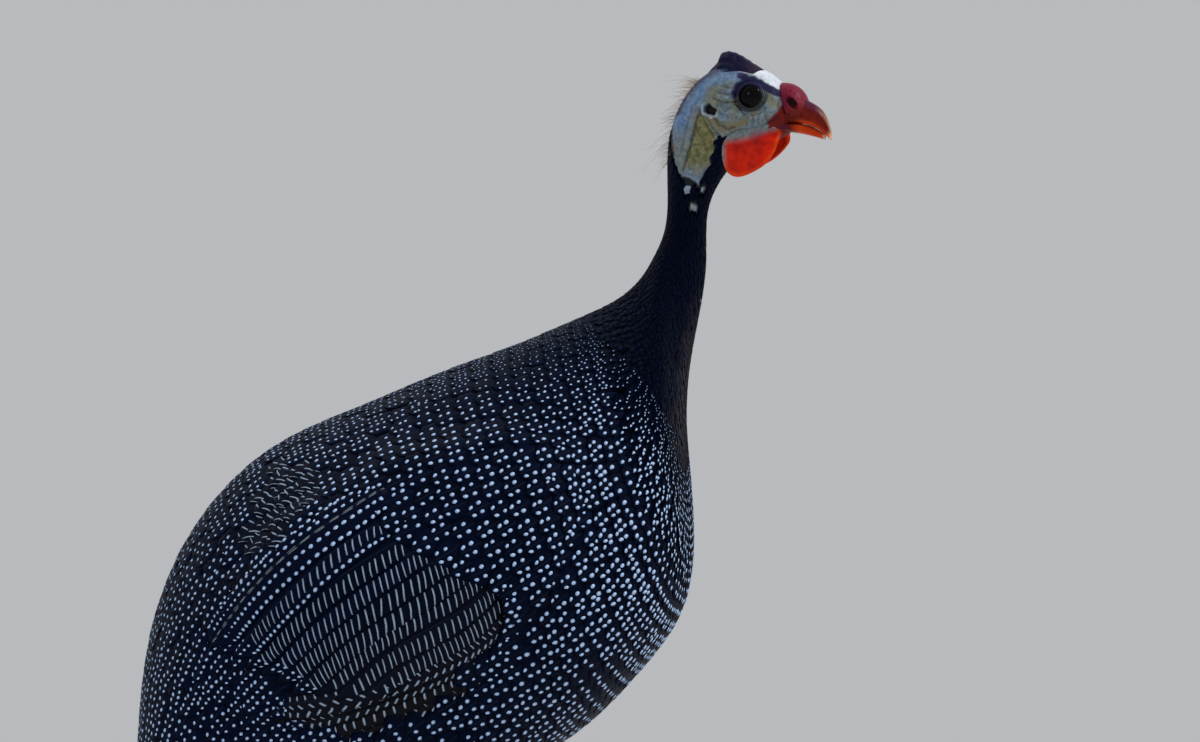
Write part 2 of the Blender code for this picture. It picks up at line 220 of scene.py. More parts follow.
AROUND = 256  # points round the loft
LOFT_COUNT = 760  # rings along it
LOFT_PLACES = np.linspace(0, PLACES[-1], LOFT_COUNT)
LOFT_ROWS = cubic_through(PLACES, ROWS, LOFT_PLACES)
CELL = LOFT_PLACES[1]


def coat_surface():
    """The outline loft on a fine grid, with the folded wings' swelling on its normals."""
    points = oval(LOFT_ROWS, tau * np.arange(AROUND) / AROUND)
    points = points + Surface(points).normals * wing_swell(points[..., 0], points[..., 2])[..., None]
    return Surface(turned(points, turn_share(LOFT_PLACES)[:, None]))


COAT = coat_surface()


def side_cell(x, z):
    """Grid place on the left side of the loft under a point of the side view: the section whose line
    from lower to upper end passes through the point, and the angle from its share of that line."""
    x, z = np.asarray(x, float), np.asarray(z, float)
    shape = x.shape
    x, z = x.ravel(), z.ravel()
    lower, line = LOFT_ROWS[:, LOWER], LOFT_ROWS[:, UPPER] - LOFT_ROWS[:, LOWER]
    off = line[:, 0] * (z[:, None] - lower[:, 1]) - line[:, 1] * (x[:, None] - lower[:, 0])
    behind = off > 0
    last = LOFT_COUNT - 2 - np.argmax((behind[:, 1:] != behind[:, :-1])[:, ::-1], 1)
    row = np.arange(len(x))
    a, b = off[row, last], off[row, last + 1]
    i = last + np.clip(a / np.where(np.abs(a - b) < 1e-9, 1, a - b), 0, 1)
    k = np.clip(np.round(i).astype(int), 0, LOFT_COUNT - 1)
    size = (line[k] ** 2).sum(-1)
    share = ((x - lower[k, 0]) * line[k, 0] + (z - lower[k, 1]) * line[k, 1]) / size
    up = np.clip(2 * share - 1, -0.999, 0.999)
    return i.reshape(shape), (np.arccos(up) / tau * AROUND).reshape(shape)


# ---------------------------------------------------------------- meshes


def outward(points, faces):
    """Points and faces, the faces turned round if the volume that they enclose comes out negative."""
    volume = sum(np.einsum("ij,ij->", points[f[:, 0]], np.cross(points[f[:, k]], points[f[:, k + 1]]))
                 for f in faces for k in range(1, f.shape[1] - 1))
    return points, faces if volume > 0 else [f[:, ::-1] for f in faces]


def build(name, points, faces, finish, stands_for=(), maps=None, tints=None):
    """A mesh piece from points in millimetres and arrays of faces with the same number of corners each.
    maps are UV maps and tints are named values, both given for each point."""
    points, faces = outward(np.asarray(points, float), faces)
    corners = np.concatenate([f.ravel() for f in faces])
    sizes = np.concatenate([np.full(len(f), f.shape[1]) for f in faces])
    mesh = bpy.data.meshes.new(name)
    mesh.vertices.add(len(points))
    mesh.vertices.foreach_set("co", (points * MM).astype(np.float32).ravel())
    mesh.loops.add(len(corners))
    mesh.loops.foreach_set("vertex_index", corners.astype(np.int32))
    mesh.polygons.add(len(sizes))
    mesh.polygons.foreach_set("loop_start", np.concatenate([[0], np.cumsum(sizes)[:-1]]).astype(np.int32))
    mesh.polygons.foreach_set("loop_total", sizes.astype(np.int32))
    mesh.polygons.foreach_set("use_smooth", np.ones(len(sizes), bool))
    mesh.update(calc_edges=True)
    for title, places in (maps or {}).items():
        layer = mesh.uv_layers.new(name=title)
        layer.data.foreach_set("uv", np.asarray(places, np.float32)[corners].ravel())
    for title, values in (tints or {}).items():
        layer = mesh.attributes.new(title, "FLOAT_COLOR", "POINT")
        layer.data.foreach_set("color", np.asarray(values, np.float32).ravel())
    mesh.validate()
    mesh.materials.append(finish)
    piece = bpy.data.objects.new(name, mesh)
    bpy.context.scene.collection.objects.link(piece)
    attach(piece, "root")
    if stands_for:
        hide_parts(*stands_for)


def sheet_faces(rows, columns, closed=False):
    """Quads between neighbouring points of a grid; closed joins the last column to the first."""
    i, j = np.meshgrid(np.arange(rows - 1), np.arange(columns if closed else columns - 1), indexing="ij")
    a, b = i * columns + j, i * columns + (j + 1) % columns
    return np.stack([a, b, b + columns, a + columns], -1).reshape(-1, 4)


def capped(grid):
    """Points and faces of a tube of rings with a small point in the middle of each end."""
    rows, columns = grid.shape[:2]
    points = np.concatenate([grid.reshape(-1, 3), grid[:1].mean(1), grid[-1:].mean(1)])
    ring = np.arange(columns)
    after = (ring + 1) % columns
    first, last = rows * columns, rows * columns + 1
    start = np.stack([after, ring, np.full(columns, first)], -1)
    base = (rows - 1) * columns
    end = np.stack([base + ring, base + after, np.full(columns, last)], -1)
    return points, [sheet_faces(rows, columns, True), start, end]


def repeated(faces, size, count):
    """The faces of one shape, repeated for count copies of size points each."""
    return (faces[None] + (np.arange(count) * size)[:, None, None]).reshape(-1, faces.shape[1])


def stacked(*parts):
    """Four values for each point from arrays that fit one another, filled up with ones."""
    return np.stack(np.broadcast_arrays(*parts, *np.ones(4 - len(parts))), -1)


def tube_piece(name, grid, finish, node, paint):
    """A closed tube of rings as a piece in place of a node. The paint is given for each point of the
    grid, and the middle of each end takes its ring's mean."""
    points, faces = capped(grid)
    paint = np.concatenate([paint.reshape(-1, 4), paint[:1].mean(1), paint[-1:].mean(1)])
    build(name, points, faces, FINISH[finish], (node,), tints={"paint": paint})


# ---------------------------------------------------------------- finishes


class Wire:
    """A socket of a material. Operators on it add Math nodes."""

    def __init__(self, paint, socket):
        self.paint, self.socket = paint, socket

    def maths(self, operation, a, b):
        """A Math node on two sockets or numbers."""
        return self.paint.node("Math", {"operation": operation}, {0: a, 1: b})

    def __add__(self, other):
        return self.maths("ADD", self, other)

    def __sub__(self, other):
        return self.maths("SUBTRACT", self, other)

    def __rsub__(self, other):
        return self.maths("SUBTRACT", other, self)

    def __mul__(self, other):
        return self.maths("MULTIPLY", self, other)

    __radd__, __rmul__ = __add__, __mul__


class Paint:
    """A node material, with shorthand for the nodes that its finish is made of."""

    def __init__(self, name):
        self.material = bpy.data.materials.new(name)
        self.material.use_nodes = True
        self.tree = self.material.node_tree
        self.shader = self.tree.nodes["Principled BSDF"]
        self.here = self.node("TexCoord", {}, {}, "Object")

    def node(self, kind, settings, inputs, output=0):
        """A node of a kind: its settings are set first, then the values or links of its sockets."""
        made = self.tree.nodes.new("ShaderNode" + kind)
        for key, value in settings.items():
            setattr(made, key, value)
        for key, value in inputs.items():
            self.join(made.inputs[key], value)
        return Wire(self, made.outputs[output])

    def join(self, socket, value):
        """A link into a socket, or its value; a colour gets its alpha here."""
        if isinstance(value, Wire):
            self.tree.links.new(value.socket, socket)
        elif value is not None:
            if isinstance(value, tuple) and socket.type == "RGBA":
                value = (*value[:3], 1)
            socket.default_value = value

    def noise(self, scale, detail=3.0, where=None, rough=0.55):
        """Soft noise from 0 to 1 at a number of bumps to the metre."""
        return self.node("TexNoise", {}, {"Vector": where or self.here, "Scale": scale, "Detail": detail,
                                          "Roughness": rough})

    def cells(self, scale, feature="F1", where=None):
        """Distances in a pattern of uneven cells, at a number of cells to the metre."""
        return self.node("TexVoronoi", {"feature": feature}, {"Vector": where or self.here, "Scale": scale})

    def stretched(self, scale):
        """The place in the mesh with each axis scaled, so that a pattern is drawn out along one."""
        return self.node("Mapping", {}, {"Vector": self.here, "Scale": scale})

    def bent(self, reach):
        """The place in the mesh, wandering by a small reach, so that patterns lose their straight lines."""
        drift = self.node("TexNoise", {}, {"Vector": self.here, "Scale": 700.0}, "Color")
        return self.node("VectorMath", {"operation": "MULTIPLY_ADD"},
                         {0: drift, 1: (reach,) * 3, 2: self.here})

    def part(self, vector, letter):
        """One of a vector's parts: X, Y or Z."""
        return self.node("SeparateXYZ", {}, {0: vector}, letter)

    def band(self, value, low, high):
        """0 below low, 1 above high, smooth between."""
        return self.node("MapRange", {"interpolation_type": "SMOOTHSTEP"},
                         {"Value": value, "From Min": low, "From Max": high})

    def mix(self, a, b, share):
        """Colour a where the share is 0, b where it is 1."""
        return self.node("Mix", {"data_type": "RGBA"}, {0: share, 6: a, 7: b}, 2)

    def layers(self, base, *coats):
        """A colour with others laid over it one after the other, each as (colour, share)."""
        for colour, share in coats:
            base = self.mix(base, colour, share)
        return base

    def tint(self, name):
        """The red, green and blue parts of a value that the mesh carries."""
        colour = self.node("Attribute", {"attribute_name": name}, {}, "Color")
        return [self.node("SeparateColor", {}, {0: colour}, k) for k in range(3)]

    def bump(self, height, depth, strength):
        """The shading of a height from 0 to 1 that is worth a depth in metres."""
        return self.node("Bump", {}, {"Strength": strength, "Distance": depth, "Height": height}, "Normal")

    def finish(self, **sockets):
        """The material, with what its shader's sockets are given in a maker's plain words."""
        names = {"colour": "Base Color", "rough": "Roughness", "normal": "Normal",
                 "shine": "Specular IOR Level", "shine_colour": "Specular Tint",
                 "inner": "Subsurface Weight", "inner_scale": "Subsurface Scale",
                 "inner_radius": "Subsurface Radius"}
        for key, value in sockets.items():
            self.join(self.shader.inputs[names[key]], value)
        return self.material


def vane_finish():
    """Slate-black feather: barbs slant from the shaft to the edge, with a faint blue or brown cast."""
    p = Paint("slate_vane")
    spread = p.node("UVMap", {"uv_map": "vane"}, {})
    across, along = p.part(spread, "X"), p.part(spread, "Y")
    out = p.node("Math", {"operation": "ABSOLUTE"}, {0: across - 0.5})
    brown, pale, chance = p.tint("shade")
    barb = p.node("Math", {"operation": "SINE"}, {0: (along * 3.0 - out * 1.6) * 62.0})
    shaft = p.band(out, 0.035, 0.012)
    patch = p.noise(55.0, 3.0)
    fine = p.noise(900.0, 2.0)
    slate = p.layers(
        p.mix((0.0009, 0.0019, 0.0080), (0.0019, 0.0038, 0.0160), patch),
        ((0.0008, 0.0013, 0.0042), chance * 0.6),
        ((0.0064, 0.0055, 0.0053), brown),
        # pale: the neck's front, its lilac-grey partly the plumage's own colour and partly painted sunlight
        ((0.026, 0.022, 0.030), pale * (0.75 + 0.5 * (fine - 0.5))),
        ((0.005, 0.010, 0.029), p.band(barb, 0.2, 1.0) * 0.16),
        ((0.008, 0.012, 0.027), shaft * 0.5))
    height = barb * 0.5 + fine * 0.4 + shaft * 1.2
    return p.finish(colour=slate, rough=0.50 + 0.16 * patch, normal=p.bump(height, 0.00012, 0.5),
                    shine=0.05, shine_colour=(0.25, 0.48, 1.0))


def mark_finish(name, colour):
    """Pale spot, bar or streak of a feather: one plain colour, with barbs in its bump."""
    p = Paint(name)
    fine = p.noise(1500.0, 2.0, where=p.stretched((1, 1, 0.35)))
    return p.finish(colour=colour, rough=0.5 + 0.25 * fine, normal=p.bump(fine, 0.0001, 0.4), shine=0.3)


def skin_finish():
    """Bare skin of the head and, under the feathers, the body. The mesh's marks say which colour is
    where: ground (dark feathered skin), blue, ochre; then maroon, dark (painted shade in the ear's
    opening, the creases and round the lids), white (pale skin, painted lighter as sunlight on the
    forehead's top); then lid, band (dark violet brow, deepened by painted shadow), ash."""
    p = Paint("bird_skin")
    dark, blue, ochre = p.tint("ground")
    maroon, pit_shade, white = p.tint("accent")
    lid, band, ash = p.tint("extra")
    soft = p.noise(260.0, 4.0)
    fine = p.noise(1100.0, 3.0)
    crack = p.band(p.cells(950.0, "DISTANCE_TO_EDGE", p.bent(0.0016)), 0.10, 0.0)
    mottle = p.band(p.noise(420.0, 5.0, rough=0.7), 0.35, 0.7)
    broad = p.noise(150.0, 2.0)
    base = p.layers(
        p.mix((0.095, 0.125, 0.135), (0.215, 0.275, 0.305), mottle),
        ((0.19, 0.17, 0.12), p.band(broad, 0.52, 0.66) * 0.7),
        ((0.10, 0.19, 0.33), p.band(broad, 0.47, 0.34) * 0.6),
        ((0.045, 0.050, 0.058), p.band(fine, 0.55, 0.8) * 0.5),
        (p.mix((0.065, 0.15, 0.31), (0.17, 0.27, 0.42), mottle), blue * (0.5 + 0.6 * soft)),
        ((0.17, 0.135, 0.035), ochre * (0.45 + 0.6 * mottle)),
        (p.mix((0.098, 0.092, 0.028), (0.25, 0.24, 0.095), mottle), ash * 0.9),
        ((0.050, 0.050, 0.045), crack * (0.06 + 0.22 * ash)),
        # white: pale skin; on the forehead's top it is painted lighter, as sunlight on it
        (p.mix((0.50, 0.54, 0.64), (0.72, 0.74, 0.78), mottle), white * (0.85 + 0.3 * (fine - 0.5))),
        # band: dark violet skin over the eye, deepened by painted shadow under the brow
        ((0.013, 0.012, 0.050), band),
        ((0.020, 0.025, 0.027), lid),
        (p.mix((0.070, 0.002, 0.003), (0.19, 0.006, 0.001), soft), maroon),
        # painted shade in the ear's opening, along the creases and round the lids
        ((0.012, 0.006, 0.008), pit_shade),
        ((0.006, 0.007, 0.011), dark))
    height = fine * 0.5 + soft * 0.5 - crack * (0.1 + 0.4 * ash)
    return p.finish(colour=base, rough=0.46 + 0.18 * fine, normal=p.bump(height, 0.00035, 0.6),
                    shine=0.14, inner=0.06, inner_scale=0.002, inner_radius=(0.8, 0.5, 0.4))


FINISH = {
    "vane": vane_finish(),
    # the spots are white; their blue cast is the colour of skylight in shade, painted in
    "spot": mark_finish("pearl_spot", (0.40, 0.56, 0.84)),
    "bar": mark_finish("pale_bar", (0.25, 0.33, 0.44)),
    "shaft": mark_finish("pale_shaft", (0.17, 0.20, 0.24)),
    "skin": skin_finish(),
}


# ---------------------------------------------------------------- skin

EYE = np.array((167.0, 8.7, 472.0))
EYE_RADIUS = 7.0
EAR = (146.7, 465.3)
# Outlines on the side of the head, in its own (x, z).
NECK_PATCH = ((142.6, 463), (147.0, 456.5), (149.6, 450.8), (147.2, 447.8), (147.4, 444.5), (144.2, 441.5),
              (144.9, 437.8), (142.0, 434.6), (138.6, 428.0), (134.6, 431.8), (129.6, 432.2), (127.2, 437.2),
              (125.2, 442.8), (124.0, 449.5), (123.4, 458.6), (128.0, 467.0), (138.0, 468.0))
BARE_SPOTS = ((132.9, 425.8, 2.1), (140.6, 425.2, 1.6), (135.2, 416.8, 1.9))
# Creases of the face and of the neck's bare patch: (depth, half width, points).
CREASES = (
    (0.55, 1.0, ((148.9, 471.2), (153.4, 469.2), (158.2, 468.9), (160.6, 470.0))),
    (0.40, 0.9, ((151.0, 474.4), (155.4, 472.9), (159.9, 473.4))),
    (0.35, 0.9, ((152.5, 477.4), (157.2, 476.0), (161.4, 477.6))),
    (0.50, 0.9, ((160.2, 467.2), (163.0, 463.9), (167.6, 462.4), (172.3, 463.4), (175.4, 466.4))),
    (0.34, 0.7, ((165.9, 461.8), (165.2, 457.6))),
    (0.34, 0.7, ((168.5, 461.4), (168.2, 457.2))),
    (0.30, 0.7, ((171.2, 461.9), (171.6, 457.9))),
    (0.30, 0.7, ((174.4, 463.4), (175.6, 460.2))),
    (0.60, 1.1, ((157.4, 453.8), (163.4, 454.9), (170.6, 455.9), (176.6, 459.3), (180.4, 461.8))),
    (0.55, 1.0, ((149.2, 461.2), (151.7, 457.8), (155.8, 455.7), (159.0, 456.6))),
    (0.35, 0.8, ((152.6, 463.5), (156.6, 461.3), (160.4, 461.4))),
    (0.75, 1.2, ((141.2, 465.4), (138.2, 456.0), (135.6, 447.7), (131.3, 436.0))),
    (0.50, 0.9, ((141.8, 463.8), (144.4, 458.6), (148.0, 452.6))),
    (0.45, 0.9, ((144.8, 461.6), (147.8, 457.0), (150.8, 452.2))),
    (0.30, 0.8, ((139.2, 456.0), (142.6, 450.4), (144.6, 444.0))),
    (0.25, 0.9, ((137.0, 466.0), (132.6, 454.0), (129.8, 443.0))),
    (0.30, 0.8, ((178.6, 474.6), (181.0, 470.4), (180.6, 466.0))),
)


def line_distance(x, z, points):
    """How far each (x, z) is from a broken line."""
    best = np.full(x.shape, 1e9)
    for (ax, az), (bx, bz) in zip(points, points[1:]):
        dx, dz = bx - ax, bz - az
        share = np.clip(((x - ax) * dx + (z - az) * dz) / (dx * dx + dz * dz), 0, 1)
        best = np.minimum(best, np.hypot(x - ax - share * dx, z - az - share * dz))
    return best


def within(x, z, outline):
    """True where (x, z) is inside a closed outline: its edges are crossed an odd number of times."""
    odd = np.zeros(np.shape(x), bool)
    for (ax, az), (bx, bz) in zip(outline, tuple(outline[1:]) + (outline[0],)):
        rise = bz - az if bz != az else 1e-9
        odd ^= ((az > z) != (bz > z)) & (x < (bx - ax) * (z - az) / rise + ax)
    return odd


def inside(x, z, outline, soft):
    """1 inside a closed outline and 0 outside it, soft over a width in millimetres."""
    closed = tuple(outline) + (outline[0],)
    away = line_distance(x, z, closed)
    return fade(-soft / 2, soft / 2, np.where(within(x, z, outline), away, -away))


def stroke(x, z, half, points):
    """1 along a broken line, fading smoothly to 0 at a half width from it."""
    return fade(half, 0, line_distance(x, z, points))


def wobble(x, z, size, reach):
    """A smooth wandering of up to reach millimetres, from three crossing waves of about that size."""
    k = tau / size
    return reach * (np.sin(k * (x + 0.6 * z)) + np.sin(k * 0.73 * (z - 0.4 * x) + 1.3)
                    + np.sin(k * 1.37 * (0.8 * x - 0.5 * z) + 4.0)) / 3


def ear_distance(x, z):
    """Distance from the middle of the ear's opening, a slanted oval with an uneven edge."""
    ahead, up = x - EAR[0], z - EAR[1]
    along, across = 0.87 * ahead - 0.5 * up, 0.5 * ahead + 0.87 * up
    return np.hypot(along / 1.15, across / 0.84) + wobble(x, z, 3.1, 0.5) + 0.35 * np.sin(1.1 * along + 1.0)


def behind_crease(x, z):
    """1 behind the long crease that runs from the ear down the neck, 0 before it."""
    return fade(0.7, -0.7, x - np.interp(z, (435.5, 442.8, 450.6, 465.3), (131.0, 133.8, 136.9, 140.5)))


def head_view(points):
    """Finished points in the head's own view: x, size of y, z, and x and z with a little wandering."""
    p = unturned(points)
    x, y, z = p[:, 0], np.abs(p[:, 1]), p[:, 2]
    return x, y, z, x + wobble(x, z, 5, 0.5), z + wobble(z, x, 4, 0.5)


def jaw_height(x):
    """Height of the bare face's lower edge, where the dark feathered throat starts."""
    return np.interp(x, (112, 120, 126, 140, 146, 149.4, 153, 158, 168, 177, 186),
                     (452, 456, 457, 458, 452.5, 450.6, 452.2, 452.8, 452.6, 455, 455))


def ring_radius(x, z):
    """Distance from the eye's middle in the side view, with the eye a little longer than high."""
    return np.hypot((x - EYE[0]) / 1.05, z - EYE[2])


def sculpted(points, normals):
    """The head's folds: the orbit, the brow, the ear opening and the creases, moved along the normals,
    then the eye's socket, where the skin drops behind the eyeball."""
    x, y, z = points[..., 0], np.abs(points[..., 1]), points[..., 2]
    wx, wz = x + wobble(x, z, 7, 0.45), z + wobble(z, x, 6, 0.45)
    head = fade(438, 446, z) * fade(4.5, 7.5, y)
    out = np.zeros(x.shape)
    for depth, half, line in CREASES:
        away = line_distance(wx, wz, line) / half
        out += depth * (0.42 * np.exp(-((away - 1.9) / 0.8) ** 2) - np.exp(-(away / 0.62) ** 2))
    patch = inside(wx, wz, NECK_PATCH, 3.0)
    run = (x - 133) + 0.33 * (z - 450)
    out += patch * 0.14 * np.sin(tau * (run + wobble(x, z, 7, 1.1)) / 2.3)
    out += patch * 0.12 * np.sin(tau * (z + wobble(x, z, 5, 1.1)) / 2.7)
    cheek = inside(x, z, ((152, 479), (163, 480), (161, 468), (170, 463), (178, 466), (177, 459), (158, 455),
                          (151, 460)), 5.0)
    out += cheek * 0.14 * np.sin(tau * (z - 0.25 * x + wobble(x, z, 5, 0.9)) / 2.1)
    out += cheek * 0.10 * np.sin(tau * (x + 0.3 * z + wobble(z, x, 4, 0.7)) / 1.5)
    ring = ring_radius(x, z)
    above = fade(-3, 3, z - EYE[2])
    out += 0.9 * above * np.exp(-((ring - 10.4) / 1.5) ** 2)
    out -= 1.1 * fade(12.0, 8.0, ring) * (1 - 0.3 * above)
    ear = ear_distance(x, z)
    out += 0.75 * np.exp(-((ear - 3.9) / 0.7) ** 2) - 3.4 * fade(3.2, 2.0, ear)
    seat = fade(11.0, 8.5, y) * fade(149, 154, x) * fade(172.5, 166.5, x) * fade(476, 482, z)
    points = points + normals * (out * head - 1.7 * seat)[..., None]
    deep = np.where(ring < EYE_RADIUS, np.sqrt(np.clip(EYE_RADIUS**2 - ring**2, 0, None)), 0)
    lid = np.maximum(EYE[1] + deep - 1.6, EYE[1] + 1.6)
    kept = fade(6.2, 8.6, ring)
    side = np.sign(points[..., 1])
    socket = head * (1 - kept) * fade(3.5, 5.5, y)
    points[..., 1] += socket * side * (np.minimum(lid, y) - np.abs(points[..., 1]))
    return points


def skin_marks(points):
    """Which colour of bare skin is where, from outlines and strokes in the head's own (x, z)."""
    x, y, z, wx, wz = head_view(points)
    head = fade(405, 412, z)
    beside = fade(5, 7, y)
    patch = inside(wx, wz, NECK_PATCH, 0.9) * fade(2.0, 4.5, y)
    spots = sum(fade(r + 0.35, r - 0.35, np.hypot(wx - a, wz - b)) for a, b, r in BARE_SPOTS)
    face = fade(-0.5, 0.5, wz - jaw_height(x)) * fade(2.0, 5.0, y + 8 * fade(454, 458, z))
    face = np.maximum(face, fade(172, 176, x))
    bare = np.maximum(np.maximum(patch, face * fade(440, 448, z)), spots * beside)
    bare = np.clip(bare, 0, 1) * head
    blue = stroke(wx, wz, 10.5, ((158, 487), (147, 483), (138, 476), (131.5, 465), (128.5, 456)))
    navy = stroke(wx, wz, 8.5, ((158, 487.8), (149, 487.6), (143, 485.2), (136, 480.4), (129.5, 473.5),
                                (126, 466)))
    ochre = np.maximum(stroke(wx, wz, 4.5, ((148.5, 460), (152.5, 456), (159, 457.5), (164, 459))),
                       0.8 * stroke(wx, wz, 4.2, ((143.5, 461), (146.5, 452), (144.5, 446))))
    ochre = np.maximum(ochre, 0.8 * stroke(wx, wz, 4.2, ((176.4, 470.8), (179.5, 468))))
    ochre = np.maximum(ochre, 0.6 * stroke(wx, wz, 4.0, ((146.5, 475), (153, 475.5))))
    # white: pale skin, and along the forehead's top a painted lighter band standing for sunlight
    white = fade(-0.5, 0.6, wz - np.interp(x, (152, 162.8, 166.8, 170.2, 174.7, 179.3, 184.4),
                                           (485.2, 484.1, 483.2, 481.3, 478.4, 475.7, 473.2)))
    white = white * fade(152, 160, x + 1.5 * np.sin(z * 1.9) + 2.0 * (z - 486))
    maroon = fade(-0.7, 0.9, wx - np.interp(z, (452, 459, 463, 468, 475, 480),
                                            (174.2, 175.2, 179.2, 182.0, 184, 186)))
    # band: the dark violet brow, partly skin colour and partly painted shadow under its ridge
    band = stroke(wx, wz, 3.1, ((161.8, 482.6), (164.5, 481.2), (170.2, 478.9), (175.9, 475.4),
                                (181.5, 473.1), (184.6, 472.0)))
    band = fade(0.25, 0.6, band)
    band = np.maximum(band, fade(8.5, 4.0, y - 0.12 * (x - 140)) * fade(466, 474, z) * fade(157, 150, x))
    band = np.maximum(band, 0.8 * stroke(wx, wz, 1.5, ((123.6, 458), (124.4, 450), (125.6, 443))))
    band = np.maximum(band, 0.9 * fade(0.25, 0.85, navy))
    ring = ring_radius(x, z)
    above = fade(-0.5, 2.5, z - EYE[2] - 0.3 * (x - EYE[0])) * beside
    lid = fade(7.3, 6.8, ring) * fade(5.7, 6.0, ring) * beside * (1 - above)
    rim = fade(6.0, 5.7, ring) * beside + 0.75 * np.exp(-((ring - 7.8) / 0.45) ** 2) * (1 - above)
    band = np.maximum(band, above * fade(9.6, 8.2, ring + wobble(x, z, 4, 0.8)))
    ear = ear_distance(x, z)
    # the ear's opening, the creases and the rims round the eye get painted shade
    folds = sum(depth * 1.15 * np.exp(-(line_distance(wx, wz, line) / (0.55 * half)) ** 2)
                for depth, half, line in CREASES)
    pit_shade = np.clip(fade(3.1, 2.4, ear) + rim + np.minimum(folds, 0.6) * fade(5, 8, y), 0, 1)
    lower_rim = fade(2.5, -1.5, z - EAR[1] + 0.5 * (x - EAR[0]))
    white = np.maximum(white, 0.6 * np.exp(-((ear - 3.7) / 0.5) ** 2) * lower_rim)
    before = 1 - behind_crease(wx, wz)
    ash = patch * before * fade(432, 441, wz) + 0.35 * stroke(wx, wz, 5, ((150, 470), (160, 466)))
    ash = np.clip(ash, 0, 1)
    blue = np.maximum(blue, np.maximum(0.3 * patch * fade(441, 433, wz), 0.6 * spots))
    white = np.maximum(white, 0.32 * spots)
    ochre = np.maximum(ochre, 0.35 * patch * (1 - before) * fade(462, 452, wz))
    return {"ground": stacked(1 - bare, blue, ochre), "accent": stacked(maroon, pit_shade, white),
            "extra": stacked(lid, band, ash)}


def tube_along(path, radii, around, flatten=1.0):
    """Rings about a path in an upright plane: radius times (ahead cos + flatten * across sin)."""
    along = unit(np.gradient(path, axis=0))
    ahead = unit(np.cross((0.0, 1.0, 0.0), along))
    across = np.cross(along, ahead)
    angle = tau * np.arange(around) / around
    ring = ahead[:, None] * np.cos(angle)[:, None] + flatten * across[:, None] * np.sin(angle)[:, None]
    return path[:, None] + np.asarray(radii)[:, None, None] * ring


HIP, THIGH, KNEE = np.array((27.0, 22, 172)), np.array((19.0, 29, 146)), np.array((9.0, 32, 124))
HOCK, ANKLE = np.array((-16.0, 32, 88)), np.array((2.0, 33, 12))
FEATHER_END = 0.86  # how far down from knee to hock the feathers reach
THIGH_RADII = (11, 23.5, 20.5, 15.2, 9.4, 6.0)
THIGH_RINGS, THIGH_AROUND, THIGH_DEPTH = 60, 64, 2.6
THIGH_FIRST_ROW, THIGH_PITCH, THIGH_GROWTH = 14.0, 4.0, 5.5  # its feathers grow from the heel up
LID_RINGS, LID_AROUND = 96, 14
SKIN_STEP, SKIN_HEAD_RINGS, SKIN_AROUND = 4.0, 225, 236


def thigh_surface(sign, depth):
    """The feathered drumstick: a tube from hip over the knee to just above the hock."""
    points = [HIP, THIGH, KNEE] + [KNEE + (HOCK - KNEE) * s for s in (0.35, 0.7, FEATHER_END)]
    path = curve_through(points, THIGH_RINGS) * (1, sign, 1) + BODY_SHIFT
    radii = np.interp(np.linspace(0, 1, THIGH_RINGS), np.linspace(0, 1, len(THIGH_RADII)), THIGH_RADII)
    return tube_along(path, np.maximum(radii - depth, 3.0), THIGH_AROUND)


def lid_ring(sign):
    """Soft edge of the eyelids: a ring about the eye that lies on the eyeball, thicker above."""
    along = tau * np.arange(LID_RINGS) / LID_RINGS
    across = tau * np.arange(LID_AROUND) / LID_AROUND
    wide = 6.35 + 0.12 * np.sin(along)
    x, z = 1.05 * wide * np.cos(along), wide * np.sin(along)
    deep = np.sqrt(np.clip(EYE_RADIUS**2 - wide**2, 1, None)) + 0.35 + 0.35 * np.sin(along)
    thick = 0.66 + 0.16 * fade(-0.2, 0.8, np.sin(along)) + 0.05 * np.sin(along * 17)
    away = thick[:, None] * np.cos(across) * 1.25
    points = np.stack([EYE[0] + x[:, None] + away * np.cos(along)[:, None],
                       EYE[1] + deep[:, None] + thick[:, None] * np.sin(across) * 0.95,
                       EYE[2] + z[:, None] + away * np.sin(along)[:, None]], -1)
    return turned(points * (1, sign, 1))


def plain_mesh(points, faces):
    """A bare object to join by a modifier, from points in millimetres."""
    mesh = bpy.data.meshes.new("blank")
    mesh.from_pydata((points * MM).tolist(), [], [tuple(f) for group in faces for f in group.tolist()])
    blank = bpy.data.objects.new("blank", mesh)
    bpy.context.scene.collection.objects.link(blank)
    return blank


def joined(shapes):
    """One list of points and faces from several, with each one's faces counted on."""
    points, faces, count = [], [], 0
    for p, groups in shapes:
        points.append(p)
        faces += [np.asarray(g) + count for g in groups]
        count += len(p)
    return np.concatenate(points), faces


def column(items, field, kind, width=1):
    """One field of all of a mesh's items as an array."""
    values = np.empty(len(items) * width, kind)
    items.foreach_get(field, values)
    return values


